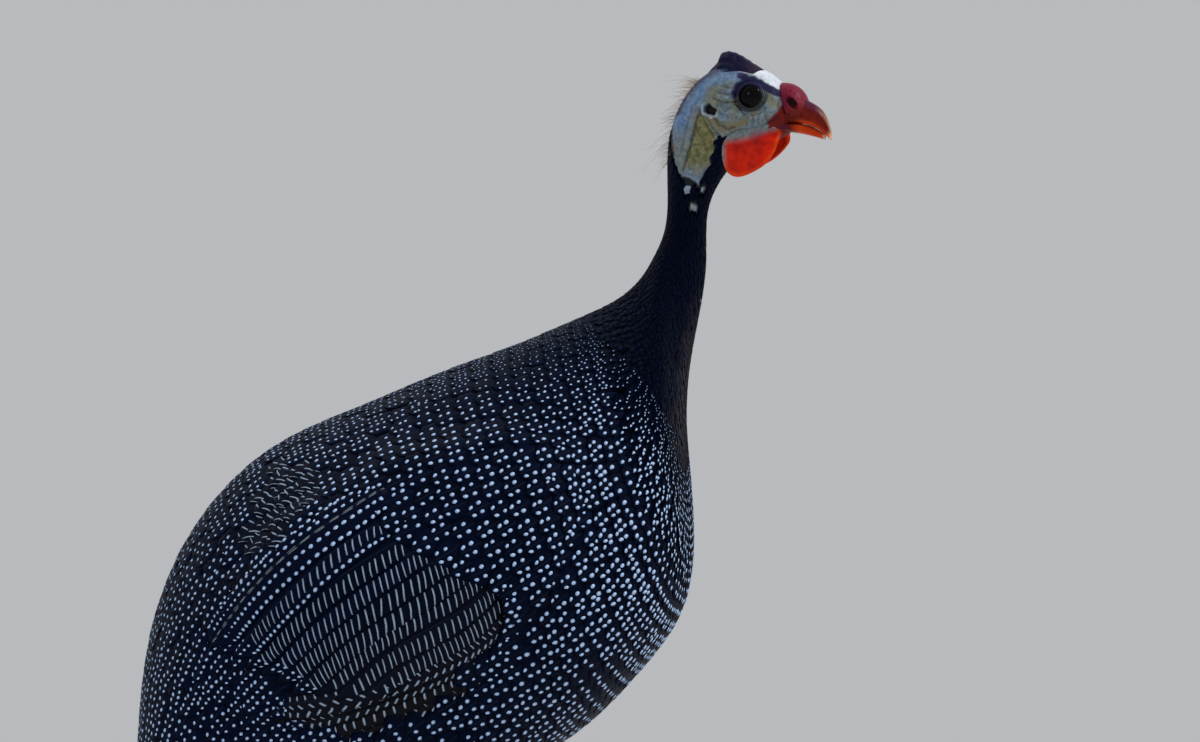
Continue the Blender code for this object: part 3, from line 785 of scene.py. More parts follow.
def make_skin():
    """The loft drawn in by the coat's depth, with the drumsticks and lids joined to it as one surface."""
    fine = place_of("neck_top") - 4
    places = np.concatenate([np.arange(0, fine, SKIN_STEP), np.linspace(fine, PLACES[-1], SKIN_HEAD_RINGS)])
    rows = cubic_through(PLACES, ROWS, places)
    points = oval(rows, tau * np.arange(SKIN_AROUND) / SKIN_AROUND)
    normals = Surface(points).normals
    lift = wing_swell(points[..., 0], points[..., 2]) - rows[:, [COAT_DEPTH]]
    points = sculpted(points + normals * lift[..., None], normals)
    points = turned(points, turn_share(places)[:, None])
    body = plain_mesh(*outward(*capped(points)))
    thighs = [outward(*capped(thigh_surface(sign, THIGH_DEPTH))) for _, sign in SIDES]
    ring_faces = [sheet_faces(LID_RINGS + 1, LID_AROUND, True) % (LID_RINGS * LID_AROUND)]
    lids = [outward(lid_ring(sign).reshape(-1, 3), ring_faces) for _, sign in SIDES]
    other = plain_mesh(*joined(thighs + lids))
    union = body.modifiers.new("one_skin", "BOOLEAN")
    union.operation, union.solver, union.object = "UNION", "EXACT", other
    whole = bpy.data.meshes.new_from_object(body.evaluated_get(bpy.context.evaluated_depsgraph_get()))
    points = column(whole.vertices, "co", np.float32, 3).reshape(-1, 3) / MM
    starts, sizes = (column(whole.polygons, field, np.int32) for field in ("loop_start", "loop_total"))
    corners = column(whole.loops, "vertex_index", np.int32)
    faces = [corners[starts[sizes == n][:, None] + np.arange(n)] for n in np.unique(sizes)]
    for blank in (body, other):
        bpy.data.objects.remove(blank)
    flesh = ["trunk", "tail", "neck_lower", "neck_upper", "head"]
    flesh += [part + "_" + side for part in ("wing", "thigh") for side, _ in SIDES]
    build("skin", points, faces, FINISH["skin"], flesh, tints=skin_marks(points))


make_skin()


# ---------------------------------------------------------------- feathers

# Vane: shares along it, shares across it, and how wide it is at each share along.
VANE_ALONG = np.array((0.0, 0.3, 0.55, 0.76, 0.91, 1.0))
VANE_ACROSS = np.array((-1.0, -0.56, 0.0, 0.56, 1.0))
VANE_WIDTH = np.array((0.34, 0.8, 0.98, 1.0, 0.87, 0.58))
SMALL_ALONG = np.array((0.0, 0.45, 0.8, 1.0))
SMALL_ACROSS = np.array((-1.0, 0.0, 1.0))
SMALL_WIDTH = np.array((0.5, 1.0, 0.84, 0.34))
VANE_BOW, VANE_SINK, VANE_CAMBER = 0.15, 4.0, 0.045
NECK_THICK, COAT_THICK, QUILL_THICK, THIGH_THICK = 0.05, 0.13, 0.16, 0.25
LOFT_SHARE = 0.86  # of the bake map's width; the drumsticks have the rest
PATCH_SIZE = 0.003
RANDOM = np.random.default_rng(7)


class Blades:
    """Feathers as grids of points and outward normals: feather, share along, share across."""

    def mesh(self, thickness):
        """Closed blades: the grid on top, and below it the same rim with the inner points set lower."""
        count, rows, columns = self.grid.shape[:3]
        low = self.grid[:, 1:-1, 1:-1] - self.normals[:, 1:-1, 1:-1] * thickness
        inner = (rows - 2) * (columns - 2)
        size = rows * columns + inner
        points = np.concatenate([self.grid.reshape(count, -1, 3), low.reshape(count, -1, 3)], 1)
        under = np.arange(rows * columns).reshape(rows, columns)
        under[1:-1, 1:-1] = rows * columns + np.arange(inner).reshape(rows - 2, columns - 2)
        top = sheet_faces(rows, columns)
        faces = np.concatenate([top, under.ravel()[top][:, ::-1]])
        t, w = np.meshgrid(self.along, self.across, indexing="ij")
        spread = np.stack([w / 2 + 0.5, t], -1)
        spread = np.concatenate([spread.reshape(-1, 2), spread[1:-1, 1:-1].reshape(-1, 2)])
        patch = self.root[:, None] + (spread[None] - 0.5) * PATCH_SIZE
        maps = {"vane": np.tile(spread, (count, 1)), "OFBake": patch.reshape(-1, 2)}
        return points.reshape(-1, 3), repeated(faces, size, count), maps, size

    def at(self, feather, t, w):
        """Point and normal on the vanes' own facets at shares along and across."""
        a = np.clip(np.searchsorted(self.along, t, side="right") - 1, 0, len(self.along) - 2)
        b = np.clip(np.searchsorted(self.across, w, side="right") - 1, 0, len(self.across) - 2)
        p = ((t - self.along[a]) / (self.along[a + 1] - self.along[a]))[..., None]
        q = ((w - self.across[b]) / (self.across[b + 1] - self.across[b]))[..., None]
        both = []
        for g in (self.grid, self.normals):
            low = g[feather, a, b] * (1 - p) + g[feather, a + 1, b] * p
            high = g[feather, a, b + 1] * (1 - p) + g[feather, a + 1, b + 1] * p
            both.append(low * (1 - q) + high * q)
        return both[0], unit(both[1])


def heading(surface, i, j, turn):
    """The normal at grid places, and the way over the surface at an angle from straight back."""
    _, normal, ahead, _ = surface.at(i, j)
    back = -unit(ahead - normal * (ahead * normal).sum(-1, keepdims=True))
    beside = np.cross(normal, back)
    return normal, back * np.cos(turn)[:, None] + beside * np.sin(turn)[:, None]


class Vanes(Blades):
    """Many feathers laid on a surface. From its root each follows the surface towards its tip, turned
    by an angle from straight back, and rises from the skin: height = lift - (depth + lift) (1 - t)^4,
    less a camber that grows with the square of the share across. Sizes are in millimetres."""

    def __init__(self, surface, i, j, turn, length, half, depth, lift, roll, small=False):
        self.along, self.across, width = (
            (SMALL_ALONG, SMALL_ACROSS, SMALL_WIDTH) if small else (VANE_ALONG, VANE_ACROSS, VANE_WIDTH))
        self.length, self.half = length, half
        self.root = np.stack([j / surface.columns * LOFT_SHARE, i / surface.rows], -1)
        grid, normals = [], []
        t_before = 0.0
        for t, share in zip(self.along, width):
            _, run = heading(surface, i, j, turn)
            i, j = surface.moved(i, j, run * (length * (t - t_before))[:, None])
            t_before = t
            normal, run = heading(surface, i, j, turn)
            side = np.cross(normal, run)
            w = self.across[None, :, None]
            move = side[:, None] * w * (half * share)[:, None, None]
            move = move - run[:, None] * (VANE_BOW * length * t**3)[:, None, None] * w**2
            a, b = surface.moved(i[:, None] + 0 * w[..., 0], j[:, None] + 0 * w[..., 0], move)
            point, out, _, _ = surface.at(a, b)
            rise = lift - (depth + lift) * (1 - t) ** VANE_SINK
            height = rise[:, None] - VANE_CAMBER * half[:, None] * (w[..., 0] * share) ** 2
            height = height + roll[:, None] * w[..., 0] * t
            grid.append(point + out * height[..., None])
            normals.append(out)
        self.grid, self.normals = np.stack(grid, 1), np.stack(normals, 1)


def mark_shape(around, fullness):
    """A low domed spot: a middle point, a rim a little sunk into the vane, and a flat underside.
    Its outline is (cos^fullness, sin^fullness), so a small fullness makes a stroke with even sides."""
    angle = tau * np.arange(around) / around
    rim = np.stack([np.cos(angle), np.sin(angle)], -1)
    rim = signed_power(np.round(rim, 9), fullness)
    flat = np.concatenate([[(0.0, 0.0)], rim])
    height = np.concatenate([[0.15], np.full(around, -0.04)])
    ring = np.arange(around) + 1
    fan = np.stack([np.zeros(around, int), ring, np.roll(ring, -1)], -1)
    return flat, height, fan, ring[::-1][None]


def laid_marks(vanes, feather, t, w, half_along, half_across, slant, around=10, fullness=1.0, bend=0.0):
    """Spots or bars set on vanes at shares (t, w), with half sizes in millimetres, turned by slant
    from the shaft and bent by a rise of bend at both ends: (points, fans, undersides, bake map)."""
    flat, height, fan, base = mark_shape(around, fullness)
    c, s = np.cos(slant)[:, None], np.sin(slant)[:, None]
    u = flat[None, :, 0] * half_along[:, None] + np.reshape(bend, (-1, 1)) * (flat[None, :, 1] ** 2 - 0.33)
    v = flat[None, :, 1] * half_across[:, None]
    tt = t[:, None] + (u * c - v * s) / vanes.length[feather][:, None]
    ww = w[:, None] + (u * s + v * c) / vanes.half[feather][:, None]
    whose = np.repeat(feather[:, None], len(flat), 1)
    point, out = vanes.at(whose, tt, ww)
    point = point + out * (height[None, :, None] + 0.05)
    count, size = len(feather), len(flat)
    shift = np.stack([w * 0.006, (t - 0.5) * 0.012], -1)
    patch = (vanes.root[feather] + shift)[:, None] + flat[None] * PATCH_SIZE / 2
    fans, undersides = repeated(fan, size, count), repeated(base, size, count)
    return point.reshape(-1, 3), fans, undersides, patch.reshape(-1, 2)


def build_marks(name, finish, laid):
    """A piece of the coat's marks, from what laid_marks gives."""
    points, fans, undersides, patch = laid
    build(name, points, [fans, undersides], FINISH[finish], maps={"OFBake": patch})


def build_blades(name, blades, thickness, brown=0.0, pale=0.0):
    """A piece of the coat's feathers. Each carries how brown and how pale it is, and a chance shade."""
    points, faces, maps, size = blades.mesh(thickness)
    count = len(blades.length)
    chance = RANDOM.random(count)
    shade = stacked(brown, pale, chance)
    build(name, points, [faces], FINISH["vane"], maps=maps, tints={"shade": np.repeat(shade, size, 0)})


# How the coat changes along the bird, at (back, side, belly) of a station: feather pitch, the gap
# between spots, and the spots' radius, in millimetres.
COAT_PLAN = {
    "tail_end": ((6, 6, 6), (5.0, 5.0, 5.0), (0.7, 0.7, 0.7)),
    "tail_tip": ((9.6, 9.6, 9.6), (4.9, 4.9, 4.9), (0.9, 0.9, 0.9)),
    "tail_base": ((10, 10.5, 11), (3.9, 4.2, 5.0), (0.80, 0.90, 1.10)),
    "rump": ((10, 11, 11), (3.7, 4.0, 5.0), (0.72, 0.85, 1.10)),
    "loin": ((9.4, 10, 11.4), (3.7, 4.6, 5.5), (0.72, 0.98, 1.18)),
    "saddle": ((9, 10, 11), (3.8, 5.0, 5.5), (0.70, 1.00, 1.12)),
    "back": ((9, 10, 11), (3.9, 5.0, 5.5), (0.70, 1.05, 1.15)),
    "mantle": ((8.6, 10, 10.6), (3.9, 5.0, 5.3), (0.66, 1.08, 1.18)),
    "shoulders": ((8.4, 9.6, 9.4), (3.7, 4.8, 4.7), (0.60, 1.06, 1.18)),
    "breast": ((5.8, 7.8, 7.8), (2.8, 4.2, 4.15), (0.52, 1.10, 1.10)),
    "neck_root": ((3.2, 3.8, 3.8), (2.6, 3.3, 3.3), (0.42, 0.88, 1.04)),
    "collar": ((2.7, 3.0, 3.1), (3, 3.4, 3.4), (0.35, 0.6, 0.72)),
    "lower_neck": ((2.1, 2.1, 2.2), (3, 3, 3), (0, 0, 0)),
    "upper_neck": ((1.8, 1.8, 1.8), (3, 3, 3), (0, 0, 0)),
    "nape": ((1.6, 1.6, 1.6), (3, 3, 3), (0, 0, 0)),
    "face_front": ((1.8, 1.8, 1.8), (3, 3, 3), (0, 0, 0)),
}
PLAN_PLACES = [place_of(station) for station in COAT_PLAN]
PITCH, GAP, RADIUS = 0, 1, 2
# The neck's small feathers, then the body's: length in pitches and what is added to it, half width in
# pitches, how far they turn by chance, their lift, and the share of chance in lift and roll.
FEATHER = {"reach": (3.0, 2.35), "under": (0.8, 2.0), "half": (0.70, 0.76), "turn": (0.13, 0.05),
           "lift": (0.08, 0.12), "loose": (0.5, 1.0)}
# Rings of the loft where the feathers start, where the evenly spaced ones of the neck do, and where
# they end.
FIRST_ROW, NECK_ROW, LAST_ROW = 7.0, 420, LOFT_COUNT - 60
# The line on the side of the neck above which the feathers carry no spots, as (x, z).
PLAIN_LINE = ((30, 378), (70, 366), (92, 350), (113, 332), (121, 318), (128, 303), (150, 276))
# Where the wing's long feathers lie open to view, as (x, z): no small feather ends in here.
WING_WINDOW = ((-28, 271), (-50, 254), (-80, 228), (-104, 204), (-102, 198), (-88, 189), (-76, 179),
               (-72, 168), (-69, 158), (-56, 153), (-36, 152), (-14, 157), (8, 167), (30, 181), (47, 196),
               (50, 206), (45, 220), (33, 228), (20, 233), (6, 240), (-6, 249), (-12, 260))
# Where the last row of coverts ends over the long feathers, as (x, z), and how many it has on a side.
COVERT_EDGE = ((-27, 268.5), (-15, 259.5), (-4, 249), (12, 242), (26, 233.5), (40, 227.5), (47, 219),
               (46.5, 208), (43, 198), (36, 188), (22, 180))
COVERT_COUNT = 17
# Where the feathers behind the wing's upper edge carry wavy bars on a brown ground, as (x, z).
WAVY_PATCH = ((-76, 291), (-56, 284), (-52, 273), (-60, 259), (-74, 246), (-88, 238), (-95, 247), (-88, 268))


def plan(which, i, angle):
    """A number of the coat's plan at grid rows i and angles: blended from back to side to belly."""
    table = np.array([row[which] for row in COAT_PLAN.values()], float)
    at = i * CELL
    back, side, belly = (np.interp(at, PLAN_PLACES, table[:, k]) for k in range(3))
    up = np.cos(angle)
    high, low = fade(0.62, 0.95, up), fade(-0.05, -0.75, up)
    return side + (back - side) * high + (belly - side) * low


def lattice():
    """Roots of the small feathers, in staggered rows. Each row is spaced from the middle of either
    flank towards the back and the belly by the pitch there; rows are an average pitch apart."""
    roots_i, roots_j, gaps = [], [], []
    flank = 128
    columns = np.linspace(0, AROUND / 2, 2 * flank + 1)
    angle = columns / AROUND * tau
    i, odd = FIRST_ROW, 0
    while i < LAST_ROW:
        _, _, along, around = COAT.at(np.full(len(columns), i), columns)
        pitch = plan(PITCH, i, angle)
        rate = np.linalg.norm(along, axis=1)
        step = (pitch / rate)[::flank].mean() if i < NECK_ROW else pitch.mean() / rate.mean()
        density = np.linalg.norm(around, axis=1) * (columns[1] - columns[0]) / pitch
        run = np.cumsum(density) - density[0]
        run = run - run[flank]
        first, last = int(np.floor(run[0])), int(np.ceil(run[-1]))
        wanted = np.arange(first, last + 1) + 0.5 * odd
        wanted = wanted[(wanted >= run[0]) & (wanted <= run[-1])]
        free = ((run[0], wanted[0] - run[0]), (run[-1], run[-1] - wanted[-1]))
        edges = [end for end, room in free if room > 0.55]
        across = np.interp(np.concatenate([wanted, edges]), run, columns)
        for j in (across, -across[(across > 0.5) & (across < AROUND / 2 - 0.5)]):
            roots_i.append(np.full(len(j), i))
            roots_j.append(j)
            gaps.append(np.full(len(j), step))
        i, odd = i + step, 1 - odd
    return np.concatenate(roots_i), np.concatenate(roots_j), np.concatenate(gaps)


def walked(i, j, length, steps):
    """Grid places after a walk forward over the coat, in short steps; a length below 0 leads back."""
    for _ in range(steps):
        i, j = COAT.moved(i, j, unit(COAT.at(i, j)[2]) * (length / steps)[:, None])
    return i, j


def edge_roots():
    """Roots of one more row of coverts, whose tips stand along the edge of the open wing: from each tip
    a walk forward by the feather's length."""
    tips = curve_through(COVERT_EDGE, COVERT_COUNT)
    i, j = side_cell(tips[:, 0], tips[:, 1])
    i, j = walked(i, j, FEATHER["reach"][1] * plan(PITCH, i, j / AROUND * tau) + FEATHER["under"][1], 8)
    gaps = plan(PITCH, i, j / AROUND * tau) / np.linalg.norm(COAT.at(i, j)[2], axis=1)
    return np.tile(i, 2), np.concatenate([j, -j]), np.tile(gaps, 2)


def spot_share(x, z):
    """0 on the plain neck, then growing with the distance below the line where the spots begin."""
    edge = np.interp(x, [p[0] for p in PLAIN_LINE], [p[1] for p in PLAIN_LINE])
    below = (edge - z) * 0.75
    return np.where(below > 0, 0.34 + 0.66 * fade(0, np.interp(x, (70, 118), (66, 30)), below), 0)


def side_view(points):
    """(x, z) of finished points before the shift, which is how outlines on the body are given."""
    return points[..., 0] - BODY_SHIFT[0], points[..., 2]


def on_bare_skin(i, j, length, place):
    """True for a feather of the upper neck that would lie on the naked face, its patch or its spots."""
    bare = np.zeros(len(i), bool)
    for share in (0.15, 0.35, 0.55, 0.75, 0.95):
        x, y, z, wx, wz = head_view(COAT.at(*walked(i, j, (0.4 - length) * share, 1))[0])
        bare |= (inside(wx, wz, NECK_PATCH, 3.0) > 0.32) & (y > 3.0 + 1.5 * fade(446, 436, z))
        for sx, sz, r in BARE_SPOTS:
            bare |= (np.hypot(wx - sx, wz - sz) < r + 0.6) & (y > 5)
        if share < 0.5:
            bare |= wz > jaw_height(x) + 0.8
    return bare & (place > place_of("upper_neck") - 14)


# Wavy bars: pairs on a feather, their gap, how far from the tip they begin, and their slant.
WAVE_PAIRS, WAVE_GAP, WAVE_START, WAVE_SLANT = 4, 4.5, 0.07, radians(33)
# Spots: the smallest radius that is built, and how long and wide one is for its radius.
SPOT_LEAST, SPOT_LONG, SPOT_WIDE = 0.16, 1.18, 0.96
COVERT_LIFT = 0.42  # how far the last row of coverts stands over the long feathers


def make_waves(name, vanes, which, mirror):
    """Wavy bars across some of the feathers: a straight stroke on the upper web, an arched one that lies
    flatter on the lower web. Mirror is -1 on the bird's left, where the lower web is the other one."""
    each = 2 * WAVE_PAIRS
    which, mirror = np.repeat(which, each), np.repeat(mirror, each)
    count = len(which)
    upper = np.tile((True, False), count // 2)
    side = np.where(upper, -0.46, 0.44) * mirror
    pair = np.tile(np.repeat(np.arange(WAVE_PAIRS), 2), count // each)
    t = 1 - (WAVE_START + WAVE_GAP / vanes.length[which] * pair)
    half_across = 0.46 * vanes.half[which] * np.interp(t, vanes.along, VANE_WIDTH)
    slant = (WAVE_SLANT + RANDOM.normal(0, 0.16, count)) * mirror
    t = t + np.where(upper, 0.0, 0.012) + RANDOM.normal(0, 0.008, count)
    half_along = RANDOM.uniform(0.34, 0.46, count)
    half_across = half_across * RANDOM.uniform(0.8, 1.15, count)
    bend = np.where(upper, 0.25, 0.95) + RANDOM.normal(0, 0.3, count)
    build_marks("waves_" + name, "bar",
                laid_marks(vanes, which, t, side, half_along, half_across, slant, 12, 0.5, bend))


def spots_in_rows(vanes, pitch, run, gap, radius):
    """Spots on the part of each feather that the next ones leave open, a pitch wide and a run long: one
    to three rows across and along, as the gap asks, each spot moved and sized a little by chance."""
    rows_across = np.clip(np.round(pitch / gap), 1, 3).astype(int)
    rows_along = np.clip(np.round(run / gap), 1, 3).astype(int)
    marks = []
    for nx, ny in product((1, 2, 3), repeat=2):
        which = np.flatnonzero((rows_across == nx) & (rows_along == ny) & (radius > SPOT_LEAST))
        for a, b in product(range(nx), range(ny)):
            side = ((a + 0.5) / nx - 0.5) * pitch[which] / vanes.half[which]
            side = side + RANDOM.normal(0, 0.035, len(which))
            behind = VANE_BOW * side**2 + 0.02 + (b + 0.5) / ny * run[which] / vanes.length[which]
            behind = behind + RANDOM.normal(0, 0.012, len(which))
            size = radius[which] * RANDOM.uniform(0.88, 1.1, len(which))
            marks.append((which, 1 - behind, side, size * SPOT_LONG, size * SPOT_WIDE))
    which, t, w, half_along, half_across = (np.concatenate(c) for c in zip(*marks))
    return laid_marks(vanes, which, t, w, half_along, half_across, np.zeros(len(which)))


def make_coat():
    """The small feathers of body and neck with their spots: roots from the rows, sizes from the plan,
    then in four areas the feathers, their wavy bars and their spots. What a feather shows of itself is
    measured where its tip lies, because the rows spread apart over a rounded breast."""
    i, j, step = (np.concatenate(c) for c in zip(lattice(), edge_roots()))
    last_row = np.arange(len(i)) >= len(i) - 2 * COVERT_COUNT
    i = i + RANDOM.normal(0, 0.35, len(i))
    angle = j / AROUND * tau
    place = i * CELL
    point, _, along, around = COAT.at(i, j)
    pitch = plan(PITCH, i, angle)
    run = np.linalg.norm(along, axis=1) * step
    depth = np.interp(place, PLACES, ROWS[:, COAT_DEPTH])
    small = place > place_of("neck_root") - 6
    its = {key: np.where(small, *pair) for key, pair in FEATHER.items()}
    length = np.clip(run, 0.55 * pitch, 1.3 * pitch) * its["reach"] + its["under"]
    tip_i, tip_j = walked(i, j, -length, 4)
    _, _, tip_along, tip_around = COAT.at(tip_i, tip_j)
    tip_run = np.linalg.norm(tip_along, axis=1) * step
    tip_pitch = pitch * np.linalg.norm(tip_around, axis=1) / np.linalg.norm(around, axis=1)
    half = np.maximum(pitch, tip_pitch) * its["half"]
    turn = RANDOM.normal(0, 1, len(i)) * its["turn"]
    lift = its["lift"] + RANDOM.normal(0, 0.045, len(i)) * its["loose"]
    roll = RANDOM.normal(0, 0.06, len(i)) * its["loose"]
    lift = lift + COVERT_LIFT * last_row
    length = np.minimum(length, place + 1.0)
    x, z = side_view(point)
    open_wing = within(x - 0.9 * length, z - 0.5 * length, WING_WINDOW)
    bare = on_bare_skin(i, j, length, place)
    rest = (~open_wing & ~bare) | last_row
    for name, area in (("neck", small), ("breast", place > place_of("mantle")),
                       ("back", place > place_of("loin")), ("rear", place > -1)):
        k = np.flatnonzero(area & rest)
        rest &= ~area
        vanes = Vanes(COAT, i[k], j[k], turn[k], length[k], half[k], depth[k], lift[k], roll[k],
                      small=name == "neck")
        tip = vanes.grid[:, -2, vanes.grid.shape[2] // 2]
        tx, tz = side_view(tip)
        # pale marks the lilac-grey front of the neck, painted lighter than its own colour as sunlight on it
        front = fade(-0.66, -0.99, np.cos(angle[k]) + 0.05 * np.sin(place[k] * 0.33 + 9 * angle[k]))
        pale = front * fade(place_of("collar") - 4, place_of("collar") + 16, place[k])
        pale = pale * fade(place_of("upper_neck"), place_of("lower_neck"), place[k])
        wavy = within(tx, tz, WAVY_PATCH)
        if wavy.any():
            on_left = np.mod(j[k][wavy], AROUND) < AROUND / 2
            make_waves(name, vanes, np.flatnonzero(wavy), np.where(on_left, -1, 1))
        thick, slot = (NECK_THICK, "neck_feathers") if name == "neck" else (COAT_THICK, "plumage")
        build_blades("coat_" + name, vanes, thick, 0.3 * wavy, pale)
        at = tip_i[k], tip_j[k] / AROUND * tau
        share = spot_share(tx, tz)
        radius = plan(RADIUS, *at) * share * ~wavy * (1 - 0.9 * fade(0.1, 0.75, pale))
        gap = plan(GAP, *at) * (0.68 + 0.32 * share)
        build_marks("spots_" + name, "spot", spots_in_rows(vanes, tip_pitch[k], tip_run[k], gap, radius))


make_coat()


# ---------------------------------------------------------------- wings

# Long feathers of the folded wing, from the innermost down: the line of the shaft as (x, z), how wide
# the blade is above and below it, its height over the coat, and how brown it is.
QUILLS = (
    ("tertial", ((-3, 280), (-24.8, 267.2), (-52.1, 249.3), (-74.7, 229.9), (-90.5, 213), (-101.5, 198)),
     10.5, 12.0, 0.42, 0.0),
    ("banded", ((-2, 262.5), (-28.2, 250), (-54.9, 228.5), (-74.2, 210), (-89, 193)), 6, 11.0, 0.33, 0.0),
    ("barred", ((8, 256.5), (-18.3, 241.8), (-44, 225), (-66, 205.5), (-82, 188)), 6, 10.4, 0.25, 0.0),
    ("barred", ((18, 251.5), (-4.4, 240.5), (-28.7, 224.5), (-53, 206), (-74, 185)), 6, 10.2, 0.20, 0.05),
    ("barred", ((27, 247), (5.7, 235.8), (-24, 217.2), (-47, 200.5), (-66.5, 181.5)), 6, 10.2, 0.15, 0.12),
    ("barred", ((34, 242.5), (13, 230), (-19, 210.5), (-41, 194), (-59, 176)), 6, 10.0, 0.10, 0.20),
    ("short", ((40, 238.5), (22, 227), (-4, 212.5), (-26, 197.5), (-47, 176)), 6, 9.8, 0.05, 0.32),
    ("short", ((43, 231), (28, 219.5), (6, 206.5), (-15, 194.5), (-37, 174)), 5, 9.4, 0.00, 0.45),
    ("short", ((46, 225), (31.5, 212.5), (16.5, 203), (-2, 192.5), (-25, 171)), 5, 8.6, -0.05, 0.6),
    ("plain", ((49, 217), (36, 206), (20.8, 197), (1, 187.5), (-26, 177.5), (-56, 172), (-71, 171)), 6, 9.4,
     -0.10, 0.7),
    ("plain", ((53, 210), (30.9, 197), (10.7, 187), (-14, 176.5), (-42, 167.5), (-69, 163)), 6, 9.0,
     -0.25, 0.85),
    ("shafted", ((54, 203), (36, 193), (17, 183.5), (-10, 171.5), (-38, 161.5), (-64, 156)), 6, 8.6,
     -0.4, 0.95),
    ("plain", ((54, 198), (40, 189), (16, 177), (-10, 165.5), (-38, 156), (-56, 152)), 5, 6.0, -0.6, 0.9),
)
KINDS, SHAFTS, ABOVE, BELOW, HEIGHTS, BROWN = zip(*QUILLS)
QUILL_ALONG = np.linspace(0, 1, 18)
QUILL_ACROSS = np.array((-1, -0.5, 0, 0.25, 0.5, 0.75, 1.0))
ENTRY = 15.0  # over this length a quill comes up from under the coverts
# Across a quill: its tilt, how its edges fall and how its middle bulges; and how deep its root lies.
QUILL_TILT, QUILL_FALL, QUILL_BULGE, QUILL_DIVE = 0.42, 0.25, 0.12, 2.2
# Where its end begins to round off, over what share, and how far the corners there draw back.
QUILL_TIP, QUILL_END, QUILL_BLUNT = 0.84, 0.17, 4.0


class Quills(Blades):
    """The wing's long feathers on one side. Each follows its shaft line in the side view; across it the
    blade is wider below, and tilts so that its lower edge lies over the next feather down."""

    def __init__(self, sign):
        self.along, self.across = QUILL_ALONG, QUILL_ACROSS
        self.half = np.array(BELOW, float)
        t, w = self.along[:, None], self.across[None, :]
        grid, normals, length, root, falls = [], [], [], [], []
        for line, above, below, height in zip(SHAFTS, ABOVE, BELOW, HEIGHTS):
            path = curve_through(line, len(self.along))
            run = unit(np.gradient(path, axis=0))
            size = np.linalg.norm(np.diff(path, axis=0), axis=1).sum()
            down = np.stack([run[:, 1], -run[:, 0]], -1) * np.where(run[:, :1] < 0, -1, 1)
            growth = 0.8 + 0.2 * fade(0, 0.3, t)
            ending = np.sqrt(np.clip(1 - np.clip((t - QUILL_TIP) / QUILL_END, 0, 1) ** 2, 0.02, 1))
            wide = np.where(w < 0, above, below) * w * growth * ending
            back = QUILL_BLUNT * w**2 * fade(0.7, 1.0, t)
            x = path[:, :1] + down[:, :1] * wide - run[:, :1] * back
            z = path[:, 1:] + down[:, 1:] * wide - run[:, 1:] * back
            i, j = side_cell(x, z)
            point, out, _, _ = COAT.at(i, j)
            entry = fade(ENTRY, 0, t * size)
            rise = height + QUILL_TILT * w - QUILL_FALL * w**2 + QUILL_BULGE * (1 - w**2)
            rise = rise - QUILL_DIVE * entry
            grid.append(point + out * rise[..., None])
            normals.append(out)
            length.append(size)
            falls.append(np.arctan2(-run[:, 1], -run[:, 0]))
            root.append((j[0, 2] / AROUND * LOFT_SHARE, i[0, 2] / LOFT_COUNT))
        mirror = np.array((1.0, sign, 1.0))
        self.grid, self.normals = np.stack(grid) * mirror, np.stack(normals) * mirror
        self.length, self.root, self.falls = np.array(length), np.array(root), np.array(falls)
        if sign < 0:
            self.root[:, 0] = LOFT_SHARE - self.root[:, 0]


def rows_of_marks(quills, feather, gap, first, last, off, half_along, half_across, lean=None, bend=0.0):
    """A row of marks along one quill, off millimetres below its shaft, a gap apart between two shares
    of its length. With a lean, each stands in the side view at that angle from upright, its lower end
    forward, whatever way the quill runs; without one it lies along the quill."""
    size = quills.length[feather]
    t = np.arange(first * size, last * size, gap) / size
    count = len(t)
    t = t + RANDOM.normal(0, 0.16 / size, count)
    scale = RANDOM.uniform(0.88, 1.08, count)
    slant = RANDOM.normal(0, 0.035, count)
    if lean is not None:
        slant = slant + radians(lean) - np.interp(t, quills.along, quills.falls[feather])
    w = off / quills.half[feather] + RANDOM.normal(0, 0.012, count)
    return (np.full(count, feather), t, w, half_along * RANDOM.uniform(0.9, 1.1, count), half_across * scale,
            slant, bend + RANDOM.normal(0, 0.12, count) * (lean is not None))


